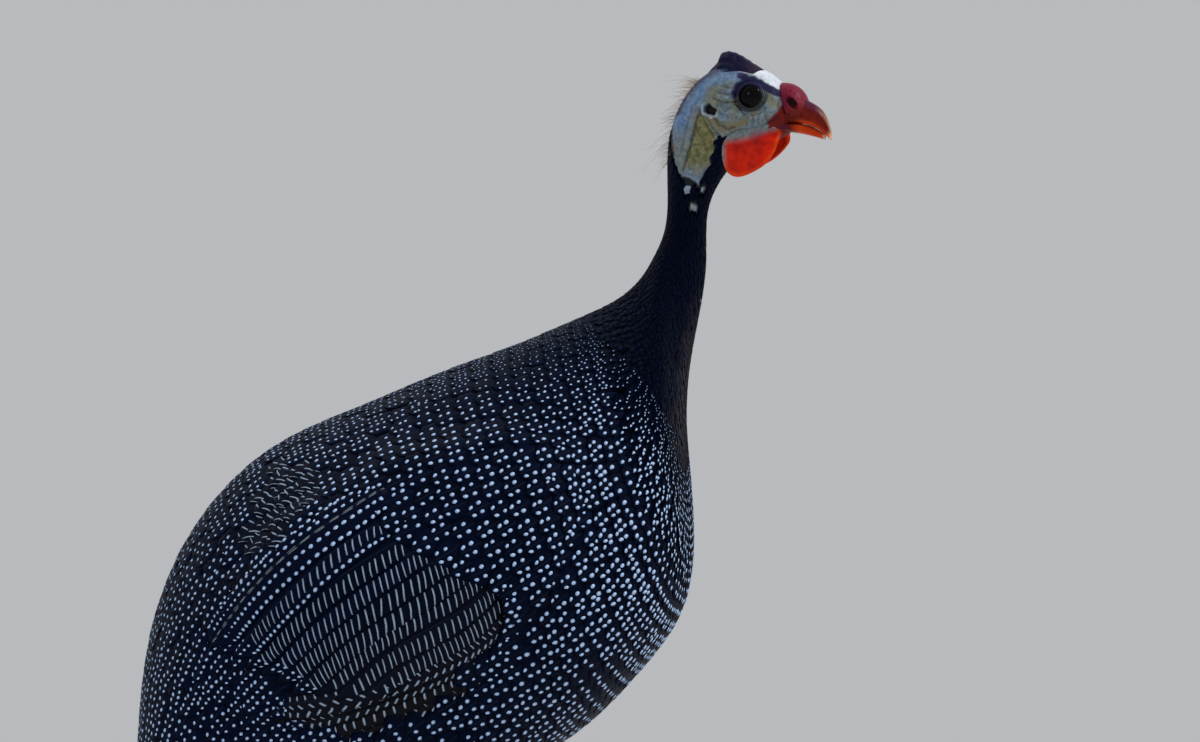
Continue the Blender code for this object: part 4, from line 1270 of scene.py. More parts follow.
def wing_rows(quills):
    """Rows of spots, of bars and of pale shaft streaks, by the kind of feather. A row is given by its
    gap, first and last share, distance below the shaft and half sizes, and for bars by lean and bend."""
    spots, bars, streaks = [], [], []
    for k, kind in enumerate(KINDS):
        row = partial(rows_of_marks, quills, k)
        if kind == "tertial":
            streaks += [row(6.6, 0.03, 0.96, o, 2.4, 0.26) for o in (-0.35, 0.4)]
            spots += [row(3.9, 0.02, 0.94 - 0.004 * o, o, 1.12, 0.98) for o in (4.3, 10.2)]
            spots += [row(3.9, first, 0.93, o, 1.0, 0.9) for o, first in ((-3.9, 0.06), (-8.1, 0.2))]
        elif kind == "banded":
            bars.append(row(3.7, 0.01, 0.86, 3.0, 0.40, 3.3, 16, -0.2))
            spots.append(row(3.7, 0.02, 0.93, 8.3, 1.08, 0.92))
            spots += [row(3.9, 0.88, 0.95, o, 0.9, 0.85) for o in (3.2, -1.6)]
        elif kind == "barred":
            low = k - 2
            bars.append(row(3.6, 0.01, 0.90, 5.3, 0.40, 3.9 + 0.15 * low, 15 - low, 0.15 * low - 0.2))
            spots += [row(3.9, 0.91, 0.975, o, 0.95, 0.88) for o in (7.4, 3.4, -1.2)]
        elif kind == "short":
            bars.append(row(3.6, 0.01, 0.93, 5.0, 0.39, 3.7, 12, 0.3))
        elif kind == "plain":
            bars.append(row(4.6, 0.02, 0.96, 2.3, 0.48, 1.4, 52))
            bars.append(row(4.6, 0.04, 0.96, 6.3, 0.52, 1.8, -28))
            bars.append(row(3.9, 0.30, 0.97, -3.1, 0.44, 2.0, 12))
        else:
            streaks.append(row(6.0, 0.15 * ENTRY / quills.length[k], 0.97, 0.0, 3.6, 0.36))
            bars.append(row(4.6, 0.02, 0.95, 3.8, 0.52, 2.3, 8))
            bars.append(row(4.6, 0.02, 0.95, -3.0, 0.55, 1.7, 42))
    return (("wing_spots_", spots, "spot", 10, 1.0), ("wing_bars_", bars, "bar", 12, 0.42),
            ("wing_shafts_", streaks, "shaft", 8, 0.6))


def make_wing(side, sign):
    """The long feathers of one folded wing, and their spots, bars and shaft streaks."""
    quills = Quills(sign)
    build_blades("quills_" + side, quills, QUILL_THICK, brown=np.array(BROWN))
    for name, rows, finish, around, fullness in wing_rows(quills):
        *numbers, bend = (np.concatenate(c) for c in zip(*rows))
        build_marks(name + side, finish,
                    laid_marks(quills, *numbers, around=around, fullness=fullness, bend=bend))


for side, sign in SIDES:
    make_wing(side, sign)


# ---------------------------------------------------------------- helmet, bill, eyes and wattles

# Helmet: x, top, half width at its foot, height of its foot. The cere and the bill: upper x and z,
# lower x and z, half width.
HELMET = ((139.5, 483.0, 1.0, 481.0), (142.8, 486.6, 5.0, 481.3), (145.6, 489.6, 7.4, 482.0),
          (147.2, 493.2, 8.6, 482.5), (149.6, 494.8, 9.5, 482.9), (152.8, 494.8, 10.0, 483.2),
          (157.0, 493.4, 10.3, 483.3), (161.4, 490.8, 10.0, 483.2), (164.8, 488.6, 9.0, 483.3),
          (167.8, 486.7, 6.8, 483.5), (170.2, 485.2, 3.4, 483.8))
CERE = ((180.0, 478.9, 184.9, 459.0, 8.0), (185.2, 478.2, 187.4, 458.7, 8.2),
        (190.0, 475.0, 190.2, 458.6, 7.4), (192.6, 470.4, 192.2, 458.4, 6.3))
UPPER_BILL = ((182.5, 466.0, 182.5, 458.6, 6.6), (187.5, 470.0, 187.2, 458.5, 6.8),
              (191.6, 471.0, 191.4, 458.3, 6.4), (193.1, 470.0, 192.6, 458.1, 6.2),
              (198.6, 466.8, 197.0, 456.6, 5.0), (202.8, 461.8, 201.0, 454.3, 3.6),
              (205.2, 455.2, 203.9, 451.6, 1.9), (205.9, 450.8, 205.3, 450.1, 0.6))
LOWER_BILL = ((174.0, 459.4, 174.0, 455.2, 5.0), (179.5, 459.2, 179.8, 454.8, 6.3),
              (184.9, 458.7, 186.0, 454.0, 6.1), (190.6, 458.2, 191.0, 453.2, 5.3),
              (196.2, 456.4, 196.4, 452.0, 3.8), (200.4, 454.1, 200.5, 450.9, 2.0),
              (202.4, 452.4, 202.3, 450.3, 0.9))
NOSTRIL = (187.3, 468.7)
# Outlines of the wattles in the head's (x, z), from the front of the upper edge down and round.
WATTLE_TOP = ((160.5, 455.4), (168, 456.8), (174.5, 457.9), (178.6, 457.6))
WATTLES = {
    "right": ((181.6, 454.2), (180.3, 447.8), (176.9, 440.7), (172.4, 436.2), (166.5, 433.2), (160.4, 431.9),
              (155.2, 434.2), (152.2, 440.5), (151.8, 447.4), (154.6, 452.3)) + WATTLE_TOP,
    "left": ((181.6, 454.6), (180.6, 450.2), (176.6, 445.4), (170.6, 441.0), (164.5, 438.0), (158.4, 437.0),
             (154.2, 439.8), (152.2, 444.0), (152.4, 448.6), (155.2, 452.6)) + WATTLE_TOP,
}
HELMET_RINGS, HELMET_ACROSS, CERE_RINGS, CERE_AROUND = 72, 61, 60, 88
BILL_RINGS, WATTLE_AROUND = 80, 144
HAIR_COUNT, HAIR_RINGS = 320, 7


def make_helmet():
    """A keel of horn on the crown: across it the height falls as (1 - |s|^a)^b to its flared foot, with
    a and b changing from the sharp peak to the broad front, and the horn is a little uneven."""
    x, top, half, foot = (c[:, None] for c in curve_through(HELMET, HELMET_RINGS).T)
    front = fade(152, 163, x)
    s = np.linspace(-1, 1, HELMET_ACROSS)
    rise = np.clip(1 - np.abs(s) ** (1.55 + 0.5 * front), 0, 1) ** (1.4 - 0.25 * front)
    upper = np.stack([x + 0 * s, half * s, foot + (top - foot) * rise], -1)
    lower = np.stack([x + 0 * s, half * s * 0.96, foot - 3.0 + 0 * s], -1)[:, ::-1]
    grid = np.concatenate([upper, lower], 1)
    x, y, z = grid[..., 0], grid[..., 1], grid[..., 2]
    uneven = np.sin(z * 1.5 + 0.5 * x + 2 * np.sin(x * 0.4)) * fade(494.5, 491, z) * fade(483, 486, z)
    grid[..., 1] += np.sign(y) * fade(0.5, 2, np.abs(y)) * 0.16 * uneven
    grid[..., 2] -= 0.14 * (1 - np.cos(x * 1.7 + y * 0.6)) * fade(486, 490, z)
    pale = fade(486.4, 484.4, z + 0.5 * np.sin(x * 0.9)) * fade(156, 148, x)
    # high: the top of the keel, where a painted highlight lies along the crest
    high = fade(0.5, 1.0, (z - 484) / np.maximum(np.interp(x, x[:, 0], top[:, 0]) - 484, 1))
    tube_piece("helmet_horn", turned(grid), "helmet", "helmet",
               stacked(pale, fade(158, 168, x), high))


def make_cere():
    """The knob at the base of the bill, with the nostrils sunk in its sides."""
    rows = curve_through(CERE, CERE_RINGS)
    rows[:, WIDTH] *= 1 + 0.05 * np.sin(pi * np.linspace(0, 1, CERE_RINGS))
    grid = oval(rows, tau * np.arange(CERE_AROUND) / CERE_AROUND, 0.88)
    x, y, z = grid[..., 0], np.abs(grid[..., 1]), grid[..., 2]
    a = (x - NOSTRIL[0]) * 0.74 + (z - NOSTRIL[1]) * 0.67
    b = (z - NOSTRIL[1]) * 0.74 - (x - NOSTRIL[0]) * 0.67
    ring = np.hypot(a / 1.9, b / 3.5)
    # hole sinks the nostrils and is painted near-black in them as shade
    hole = fade(1.15, 0.65, ring) * fade(2, 4, y)
    lip = np.exp(-((ring - 1.35) / 0.22) ** 2) * fade(2, 4, y)
    grid[..., 1] -= np.sign(grid[..., 1]) * (2.6 * hole - 0.4 * lip)
    uneven = 0.12 * np.sin(2.1 * x + 1.3 * z) * np.sin(1.7 * z - 0.8 * x + 1.0)
    grid[..., 1] += np.sign(grid[..., 1]) * uneven * fade(1, 4, y)
    low = fade(468.5, 464.0, z - 0.3 * (x - 186))
    # the third value marks the top, where a painted highlight goes
    tube_piece("cere_knob", turned(grid), "cere", "cere", stacked(hole, low, fade(470, 478, z)))


def bill_sections(rows, angle, upper):
    """Sections of a horn shell: flat where the two halves of the bill meet, arched on the other side."""
    up, side = np.cos(angle), np.sin(angle)
    flat = -up if upper else up
    up = signed_power(up, np.where(flat > 0, 0.3, 1.0))
    side = signed_power(side, np.where(flat > 0, 0.55, 1.0))
    swell = 1 + 0.12 * np.where(flat > 0, 1, 0) * (1 - np.abs(up))
    return sections(rows, up, rows[:, None, WIDTH] * side * swell)


def make_bill():
    """Upper and lower bill: horn shells drawn out to the tip. The upper one's cutting edge overhangs."""
    angle = tau * np.arange(64) / 64
    for name, table, node in (("upper_bill", UPPER_BILL, "bill_upper"),
                              ("lower_bill", LOWER_BILL, "bill_lower")):
        rows = curve_through(table, BILL_RINGS)
        rows[:, WIDTH] = np.maximum(rows[:, WIDTH], 0.25)
        grid = bill_sections(rows, angle, node == "bill_upper")
        x, z = grid[..., 0], grid[..., 2]
        share = np.linspace(0, 1, BILL_RINGS)[:, None] + 0 * x
        gape = np.interp(x, (184, 191.3, 198, 201, 204.3), (459, 458.3, 456.4, 454, 451.1))
        if node == "bill_upper":
            edge = fade(3.6, 0.8, z - gape) * fade(187.5, 193.5, x)
            ridge = fade(0.2, 0.9, np.cos(angle))[None] * fade(203, 198, x)
            # painted highlight: the upper ridge's top painted paler towards the tip
            wear_and_highlight = 0.55 * fade(0.5, 0.9, share) * fade(0.6, 1, np.cos(angle))
            tip = np.maximum(fade(0.80, 1.0, share), wear_and_highlight)
        else:
            edge, ridge = fade(185, 191.5, x), fade(186, 181, x)
            tip = fade(0.84, 1.0, share)
        grid[..., 1] *= 1 + 0.012 * np.sin(share * 70)
        tube_piece(name, turned(grid), "bill", node, stacked(tip, edge, ridge))


def jaw_width(x, z):
    """Half the head's width at a point of its own side view."""
    i, j = side_cell(x, z)
    rows = cubic_through(PLACES, ROWS, (i * CELL).ravel()).reshape(x.shape + (-1,))
    angle = j / AROUND * tau
    return rows[..., WIDTH] * np.sin(angle) * (1 + rows[..., FULLNESS] * np.cos(angle))


def make_wattle(side, sign):
    """A fleshy flap: its outline shrunk towards the middle in rings, thickest near the jaw and with a
    rolled rim, and waved gently to and fro."""
    rim = curve_through(WATTLES[side] + WATTLES[side][:1], WATTLE_AROUND + 1)[:-1]
    middle = rim.mean(0)
    share = 0.86 + 0.14 * np.sin(np.linspace(0.1, 1, 10) * pi / 2)
    share = np.concatenate([np.linspace(0.0, 0.86, 20), share])
    flap = middle + (rim - middle)[None] * share[:, None, None]
    x, z = flap[..., 0], flap[..., 1]
    away = share[:, None] + 0 * x
    body = 1.45 * np.sqrt(np.clip(1 - away**2.6, 0, 1)) + 0.32 * np.exp(-((away - 0.93) / 0.05) ** 2)
    body = body * (0.75 + 0.35 * fade(440, 456, z))
    hang = 452 - z
    sweep = 10.8 + 0.13 * hang + 0.5 * np.sin(x * 0.34 + 0.6) * fade(0, 12, hang)
    sweep = sweep - 1.6 * fade(172, 184, x) - 0.02 * (x - 167) ** 2 * 0.25 * fade(0, 8, hang)
    sweep = sweep + (jaw_width(x, np.maximum(z, 456.0)) - 1.1 - sweep) * fade(448.5, 456.5, z)
    dimple = 0.16 * np.sin(x * 1.15 + 0.5 * z) * np.sin(z * 0.9 - 0.3 * x) * fade(1, 0.7, away)
    top = np.stack([x, sweep + body + dimple, z], -1)
    under = np.stack([x, sweep - body + dimple, z], -1)[::-1]
    grid = np.concatenate([top, under]) * (1, sign, 1)
    gx, gz = grid[..., 0], grid[..., 2]
    pale = fade(-3.0, 2.0, gz - np.interp(gx, (150, 156, 163, 172, 184), (448.5, 450.2, 451.0, 453.2, 458.5)))
    pale = np.maximum(pale, 0.85 * fade(3.8, 0.6, gx - 151.6) * fade(432, 441, gz))
    grey = stroke(gx, gz, 6.0, ((170, 452.5), (176, 451), (181, 449.5)))
    edge = np.concatenate([away, away[::-1]])
    tube_piece("wattle_flap_" + side, turned(grid), "wattle", "wattle_" + side,
               stacked(pale, grey, fade(0.8, 0.97, edge)))


def make_eye(side, sign):
    """A ball in rings about its outward axis; the cornea bulges a little over the iris."""
    polar = np.concatenate([np.linspace(0.02, 1.1, 48), np.linspace(1.15, pi - 0.05, 16)])
    around = tau * np.arange(72) / 72
    bulge = EYE_RADIUS * (1 + 0.035 * fade(0.8, 0.0, polar))
    out = (bulge * np.cos(polar))[:, None] + 0 * around
    reach = (bulge * np.sin(polar))[:, None]
    grid = np.stack([EYE[0] + reach * np.cos(around), sign * (EYE[1] + out),
                     EYE[2] + reach * np.sin(around)], -1)
    ring = reach / EYE_RADIUS + 0 * around
    tube_piece("eyeball_" + side, turned(grid), "eye", "eye_" + side,
               stacked(ring, around / tau, ring))


def make_filaments():
    """Sparse thin hairs on the nape: three-sided tapering tubes that leave the skin and droop."""
    count, rings, size = HAIR_COUNT, HAIR_RINGS, HAIR_RINGS * 3
    i = (place_of("crown") - 6 - 46 * RANDOM.random(count) ** 1.5) / CELL
    j = RANDOM.normal(0, 17, count)
    point, out, along, around = COAT.at(i, j)
    length = RANDOM.uniform(3.5, 9, count) * np.where(RANDOM.random(count) < 0.1, 2.1, 1.0)
    back = -unit(along)
    lean = RANDOM.uniform(0.1, 0.9, count)[:, None]
    start = unit(out + back * lean + unit(around) * RANDOM.normal(0, 0.35, count)[:, None])
    bend = back * RANDOM.uniform(-0.2, 0.8, count)[:, None]
    bend = bend + (0, 0, -1) * RANDOM.uniform(0, 0.5, count)[:, None]
    t = np.linspace(0, 1, rings)[None, :, None]
    way = start[:, None] * t + bend[:, None] * t**2 * 0.5
    path = point[:, None] - out[:, None] * 0.5 + length[:, None, None] * way
    thick = 0.072 * (1 - 0.7 * t)
    beside = unit(np.cross(start, (0.3, 0.9, 0.2)))
    third = np.cross(start, beside)
    turn = tau * np.arange(3) / 3
    ring = beside[:, None, None] * np.cos(turn)[:, None] + third[:, None, None] * np.sin(turn)[:, None]
    grid = path[:, :, None] + ring * thick[..., None]
    sides, caps = sheet_faces(rings, 3, True), np.array([[0, 2, 1], [size - 3, size - 2, size - 1]])
    root = np.stack([np.mod(j, AROUND) / AROUND * LOFT_SHARE, i / LOFT_COUNT], -1)
    spread = np.stack([np.tile([0, 0.5, 1], rings), np.repeat(t.ravel(), 3)], -1)
    patch = root[:, None] + spread[None] * PATCH_SIZE
    dark = np.repeat(stacked((RANDOM.random(count) < 0.3) * 1.0), size, 0)
    build("nape_filaments", grid.reshape(-1, 3), [repeated(f, size, count) for f in (sides, caps)],
          FINISH["filament"], maps={"OFBake": patch.reshape(-1, 2)}, tints={"paint": dark})


def helmet_finish():
    """Dull dark horn with a violet cast, browner on its front slope, paler where it meets the skin;
    a painted highlight lies along its crest.
    """
    p = Paint("helmet_horn")
    pale, front, high = p.tint("paint")
    grain = p.noise(500.0, 4.0, where=p.stretched((1, 1, 0.3)))
    fine = p.noise(2400.0, 2.0)
    colour = p.layers(
        p.mix((0.002, 0.003, 0.016), (0.007, 0.006, 0.030), grain),
        ((0.08, 0.045, 0.045), front * 0.35 * grain),
        # painted highlight along the crest
        ((0.07, 0.06, 0.11), p.band(high, 0.85, 1.0) * (0.05 + 0.3 * fine)),
        ((0.030, 0.075, 0.15), pale * 0.85))
    return p.finish(colour=colour, rough=0.32 + 0.2 * grain, normal=p.bump(grain + fine * 0.5, 0.0003, 0.5),
                    shine=0.05)


def cere_finish():
    """Magenta-red waxy skin, darker and browner low down, with a painted pink highlight on its top
    and near-black nostrils, whose black is painted shade in their hollows.
    """
    p = Paint("cere_wax")
    hole, low, high = p.tint("paint")
    soft = p.noise(380.0, 4.0)
    fine = p.noise(1900.0, 3.0)
    colour = p.layers(
        p.mix((0.095, 0.004, 0.018), (0.20, 0.009, 0.034), soft),
        (p.mix((0.080, 0.006, 0.008), (0.20, 0.014, 0.006), soft), low),
        # painted highlight: pink flecks on the cere's top
        ((0.50, 0.16, 0.24), p.band(fine, 0.5, 0.8) * high * 0.3),
        # painted shade in the nostrils' hollows
        ((0.012, 0.005, 0.006), hole))
    return p.finish(colour=colour, rough=0.34 + 0.2 * fine + 0.4 * hole,
                    normal=p.bump(soft + fine * 0.6, 0.00035, 0.6), shine=0.10,
                    inner=0.04, inner_scale=0.002, inner_radius=(1.0, 0.3, 0.25))


def bill_finish():
    """Horn: dark maroon over the base, orange-red along the cutting edge, pale at the tip; the upper
    ridge's top is painted paler towards the tip as a highlight.
    """
    p = Paint("bill_horn")
    tip, edge, ridge = p.tint("paint")
    grain = p.noise(420.0, 4.0, where=p.stretched((0.35, 1, 1)))
    colour = p.layers(
        p.mix((0.060, 0.003, 0.002), (0.13, 0.007, 0.002), grain),
        ((0.060, 0.008, 0.034), ridge * 0.85),
        (p.mix((0.34, 0.012, 0.002), (0.60, 0.062, 0.004), grain), edge),
        # pale horn at the tip, with the painted highlight along the upper ridge
        ((0.62, 0.46, 0.30), tip * (0.7 + 0.3 * grain)))
    return p.finish(colour=colour, rough=0.26 + 0.16 * grain, normal=p.bump(grain, 0.00025, 0.45), shine=0.09,
                    inner=0.03, inner_scale=0.002, inner_radius=(1.0, 0.4, 0.25))


def wattle_finish():
    """Orange-red flesh, bluish white where it leaves the jaw and greyer towards the front."""
    p = Paint("wattle_flesh")
    pale, grey, edge = p.tint("paint")
    soft = p.noise(240.0, 4.0)
    fine = p.noise(1500.0, 3.0)
    veins = p.cells(700.0)
    mottle = p.band(p.noise(420.0, 5.0, rough=0.7), 0.35, 0.7)
    jaw = p.mix((0.095, 0.12, 0.125), (0.20, 0.24, 0.255), mottle)
    jaw = p.mix(jaw, (0.16, 0.055, 0.085), grey * 0.8)
    colour = p.layers(
        p.mix((0.28, 0.003, 0.001), (0.58, 0.014, 0.001), p.band(p.noise(110.0, 2.0), 0.3, 0.7)),
        ((0.18, 0.003, 0.002), p.band(soft, 0.55, 0.8) * 0.35),
        ((0.75, 0.060, 0.003), edge * 0.45),
        (jaw, pale))
    return p.finish(colour=colour, rough=0.32 + 0.2 * fine, normal=p.bump(fine + veins * 0.6, 0.0003, 0.5),
                    shine=0.08, inner=0.05, inner_scale=0.0025, inner_radius=(1.0, 0.25, 0.12))


def eye_finish():
    """Near-black pupil in a dark brown iris with fine spokes, under a clear wet surface."""
    p = Paint("dark_eye")
    ring, turn, _ = p.tint("paint")
    spokes = p.noise(9.0, 4.0, where=p.node("CombineXYZ", {}, {0: turn * 12.0, 1: ring * 1.2}))
    iris = p.mix((0.0013, 0.0010, 0.0010), (0.0046, 0.0029, 0.0023), spokes)
    iris = p.mix(iris, (0.003, 0.003, 0.0035), p.band(ring, 0.70, 0.84))
    colour = p.mix((0.0015, 0.0015, 0.002), iris, p.band(ring, 0.42, 0.47))
    return p.finish(colour=colour, rough=0.06, shine=0.06)


def filament_finish():
    """Thin hair-like feathers, golden or dark."""
    p = Paint("nape_filament")
    dark, _, _ = p.tint("paint")
    return p.finish(colour=p.mix((0.36, 0.23, 0.10), (0.03, 0.025, 0.03), dark), rough=0.4, shine=0.4)


FINISH.update(helmet=helmet_finish(), cere=cere_finish(), bill=bill_finish(), wattle=wattle_finish(),
              eye=eye_finish(), filament=filament_finish())
make_helmet()
make_cere()
make_bill()
for side, sign in SIDES:
    make_wattle(side, sign)
    make_eye(side, sign)
make_filaments()


# ---------------------------------------------------------------- legs and feet

SHANK_SHARES = (0.16, 0.5, 0.85, 0.98)
SHANK_RADII = (5.2, 6.6, 4.7, 3.9, 4.1, 5.6)
SHANK_FLATTEN = 0.84
SHANK_RINGS, SHANK_AROUND = 230, 72
SHANK_SOFT = 9  # rings over which the corners of its path are rounded
PAD_HEIGHTS = (8.0, 3.4, 0.0)
PAD_RADII = (7.6, 7.6, 6.2)
# Toe: angle out from straight ahead, length, half width, height, and the claw's length.
TOES = (("inner", -36, 33, 2.5, 6.2, 9), ("middle", 4, 47, 2.65, 6.8, 10.5), ("outer", 44, 36, 2.5, 6.2, 9),
        ("hind", 172, 13, 2.4, 5.6, 8))
TOE_TAPER, TOE_SWELL, TOE_JOINTS, TOE_CLEAR = 0.34, 0.1, 2.5, 0.6
CLAW_TABLE = np.array(((0.0, 1.0, 0.62), (0.35, 0.84, 0.57), (0.7, 0.52, 0.41), (1.0, 0.16, 0.22)))
SCUTE_GAP, SCUTE_HEIGHT = 4.2, 0.55  # the broad shields down the front of the shank
NET_GAP, NET_AROUND, NET_HEIGHT = 2.3, 14, 0.30  # the small scales at its sides and back
SHANK_SINK, TOE_SINK = 0.35, 0.2  # how far the skin between the scales lies below the plain shape
PLATE_RISE, PLATE_END = 0.35, 0.9  # a plate's height is its share to this power, up to this share
TOE_SCUTE_GAP, TOE_SCUTE_HEIGHT = 2.6, 0.42
TOE_ROOT, CLAW_ROOT = 2.2, 1.2  # how far a toe starts inside the pad, and a claw inside its toe
TOE_TIP, TIP_LENGTH = 0.93, 0.09  # where a toe's end begins to round off, and over what share of it
TOE_RINGS, TOE_AROUND, CLAW_RINGS, CLAW_AROUND = 84, 36, 36, 28


def plates(run, gap):
    """Overlapping plates along a run of millimetres: each rises slowly and ends in a quick step down."""
    share = np.mod(run / gap, 1.0)
    return share**PLATE_RISE * fade(1.0, PLATE_END, share)


def make_shank(side, sign):
    """Bare shank and foot pad: rings down a path, with broad shields in front, a net of small scales
    behind and at the sides, and a rounded heel."""
    points = [KNEE + (HOCK - KNEE) * s for s in (FEATHER_END - 0.06, 1.0)]
    points += [HOCK + (ANKLE - HOCK) * s for s in SHANK_SHARES]
    points = np.array(points + [(ANKLE[0], ANKLE[1], h) for h in PAD_HEIGHTS])
    steps = np.concatenate([[0], np.cumsum(np.linalg.norm(np.diff(points, axis=0), axis=1))])
    run = np.linspace(0, steps[-1], SHANK_RINGS)
    path = np.stack([np.interp(run, steps, points[:, k]) for k in range(3)], -1)
    radius = np.interp(run, steps, SHANK_RADII + PAD_RADII)
    soft = np.ones(SHANK_SOFT) / SHANK_SOFT
    inner = slice(SHANK_SOFT // 2, -(SHANK_SOFT // 2))
    path[inner] = np.stack([np.convolve(path[:, k], soft, "same") for k in range(3)], -1)[inner]
    radius[inner] = np.convolve(radius, soft, "same")[inner]
    angle = tau * np.arange(SHANK_AROUND) / SHANK_AROUND
    grid = tube_along(path, radius, SHANK_AROUND, SHANK_FLATTEN)
    front = np.cos(angle)[None] * np.sign(grid[0, 0, 0] - path[0, 0])
    shield = fade(0.25, 0.55, front)
    down = run[:, None] + 0.9 * (1 - front**2)
    bare = fade(1, 6, run)[:, None]
    height = shield * plates(down, SCUTE_GAP) * SCUTE_HEIGHT * bare
    cross = np.mod(run[:, None] / NET_GAP, 1) - 0.5
    turn = angle[None] / tau * NET_AROUND + 0.5 * (np.floor(run / NET_GAP) % 2)[:, None]
    scale = np.cos(pi * cross) * np.cos(pi * (np.mod(turn, 1) - 0.5))
    height = height + (1 - shield) * NET_HEIGHT * np.clip(scale, 0, 1) ** 0.6 * bare
    low = fade(1.5, 5.0, grid[..., 2])
    grid = grid + unit(grid - path[:, None]) * ((height - SHANK_SINK) * low)[..., None]
    grid[..., 2] = np.maximum(grid[..., 2], 0.0)
    grid = (grid + BODY_SHIFT) * (1, sign, 1)
    ridge = np.clip(height / SCUTE_HEIGHT, 0, 1)
    tube_piece("scaled_shank_" + side, grid, "leg", "shank_" + side,
               stacked(ridge, shield, fade(16, 2, grid[..., 2])))


TOE_PROFILE = np.array(((-0.55, 0.0), (0.55, 0.0), (1.0, 0.34), (0.88, 0.74), (0.0, 1.0), (-0.88, 0.74),
                        (-1.0, 0.34)))


def toe_profile(count):
    """The toe's section drawn finer: a flat sole, round sides and a round top."""
    looped = np.concatenate([TOE_PROFILE[1:], TOE_PROFILE[:2]])
    fine = curve_through(looped, count + 1)[:-1]
    return np.stack([fine[:, 0], np.clip(fine[:, 1], 0, 1)], -1)


def make_toe(name, sign, angle, length, half, height, claw):
    """A toe along the floor with swollen joints and shields across its top, and its arching claw."""
    ahead = np.array((cos(angle), sin(angle)))
    beside = np.array((-ahead[1], ahead[0]))
    ankle = ANKLE[:2] * (1, sign)
    start = ankle + ahead * (PAD_RADII[0] + TOE_CLEAR - TOE_ROOT)
    share = np.linspace(-TOE_ROOT / length, 1, TOE_RINGS)
    size = (1 - TOE_TAPER * share) * (1 + TOE_SWELL * np.cos(tau * TOE_JOINTS * share))
    end = np.sqrt(np.clip(1 - ((share - TOE_TIP) / TIP_LENGTH) ** 2, 0.1, 1))
    size = size * np.where(share > TOE_TIP, end, 1)
    profile = toe_profile(TOE_AROUND)
    run = (share * length)[:, None]
    top = fade(0.45, 0.85, profile[:, 1])[None]
    scute = plates(run, TOE_SCUTE_GAP) * TOE_SCUTE_HEIGHT * top
    sides = (1 - top) * fade(0.05, 0.3, profile[:, 1])[None]
    scute = scute + sides * 0.2 * np.abs(np.sin(run * pi / 1.9)) ** 0.5
    proud = (scute - TOE_SINK) * (profile[:, 1] > 0.02)
    out = profile - (0, 0.35)
    out = out / np.maximum(np.linalg.norm(out, axis=1, keepdims=True), 0.1)
    across = profile[:, 0] * half * size[:, None] + out[:, 0] * proud
    up = profile[:, 1] * height * size[:, None] + out[:, 1] * proud
    flat = start + ahead * (run + TOE_ROOT)[..., None] + beside * across[..., None]
    grid = np.concatenate([flat, np.maximum(up, 0)[..., None]], -1) + BODY_SHIFT
    ridge = np.clip(scute / TOE_SCUTE_HEIGHT, 0, 1)
    tube_piece("scaled_toe_" + name, grid, "leg", "toe_" + name,
               stacked(ridge, top, 0.9))

    tip = ankle + ahead * (PAD_RADII[0] + TOE_CLEAR + length - CLAW_ROOT)
    _, thick, top = curve_through(CLAW_TABLE, CLAW_RINGS).T
    bottom = np.maximum(top - 0.5 * thick, 0.04) * height
    profile = toe_profile(CLAW_AROUND)
    along = np.linspace(0, 1, CLAW_RINGS) * (claw + CLAW_ROOT)
    across = profile[:, 0] * (half * 0.5 * thick)[:, None]
    flat = tip + ahead * along[:, None, None] + beside * across[..., None]
    up = bottom[:, None] + profile[:, 1] * (height * top - bottom)[:, None]
    grid = np.concatenate([flat, up[..., None]], -1) + BODY_SHIFT
    wear_and_highlight = stacked(np.linspace(0, 1, CLAW_RINGS)[:, None] + 0 * across)
    tube_piece("claw_horn_" + name, grid, "claw", "claw_" + name, wear_and_highlight)


def make_thigh_coat(side, sign):
    """Small feathers in staggered rows down the drumstick, and their spots."""
    surface = Surface(thigh_surface(sign, 0.0)[::-1])
    roots_i, roots_j, sizes = [], [], []
    i, odd = THIGH_FIRST_ROW, 0
    while i < THIGH_RINGS - 2:
        along = surface.at(np.array([i]), np.array([0.0]))[2]
        around = surface.at(np.full(THIGH_AROUND, i), np.arange(float(THIGH_AROUND)))[3]
        girth = np.linalg.norm(around, axis=1).sum()
        pitch = THIGH_PITCH + THIGH_GROWTH * float(fade(8, 40, i))
        count = max(int(round(girth / pitch)), 5)
        roots_i.append(np.full(count, i))
        roots_j.append((np.arange(count) + 0.5 * odd) * THIGH_AROUND / count)
        sizes.append(np.full(count, pitch))
        i, odd = i + pitch / np.linalg.norm(along), 1 - odd
    i, j, pitch = (np.concatenate(c) for c in (roots_i, roots_j, sizes))
    turn = RANDOM.normal(0, 0.06, len(i))
    lift, roll = 0.15 + RANDOM.normal(0, 0.1, len(i)), RANDOM.normal(0, 0.1, len(i))
    vanes = Vanes(surface, i, j, turn, pitch * FEATHER["reach"][1], pitch * 0.8, THIGH_DEPTH, lift, roll)
    beside_loft = LOFT_SHARE + 0.02 + (0.06 if sign > 0 else 0)
    vanes.root = np.stack([beside_loft + j / THIGH_AROUND * 0.05, i / THIGH_AROUND * 0.3], -1)
    build_blades("coat_thigh_" + side, vanes, THIGH_THICK)
    room = np.linalg.norm(surface.at(i, j)[2], axis=1)
    which = np.repeat(np.flatnonzero((pitch > 6) & (room > 0.66 * room.mean())), 4)
    count = len(which)
    w = np.tile([-0.3, 0.3, -0.3, 0.3], count // 4) + RANDOM.normal(0, 0.03, count)
    t = 1 - np.tile([0.13, 0.13, 0.33, 0.33], count // 4) + RANDOM.normal(0, 0.012, count)
    build_marks("spots_thigh_" + side, "spot",
                laid_marks(vanes, which, t, w, np.full(count, 1.15), np.full(count, 1.05), np.zeros(count)))


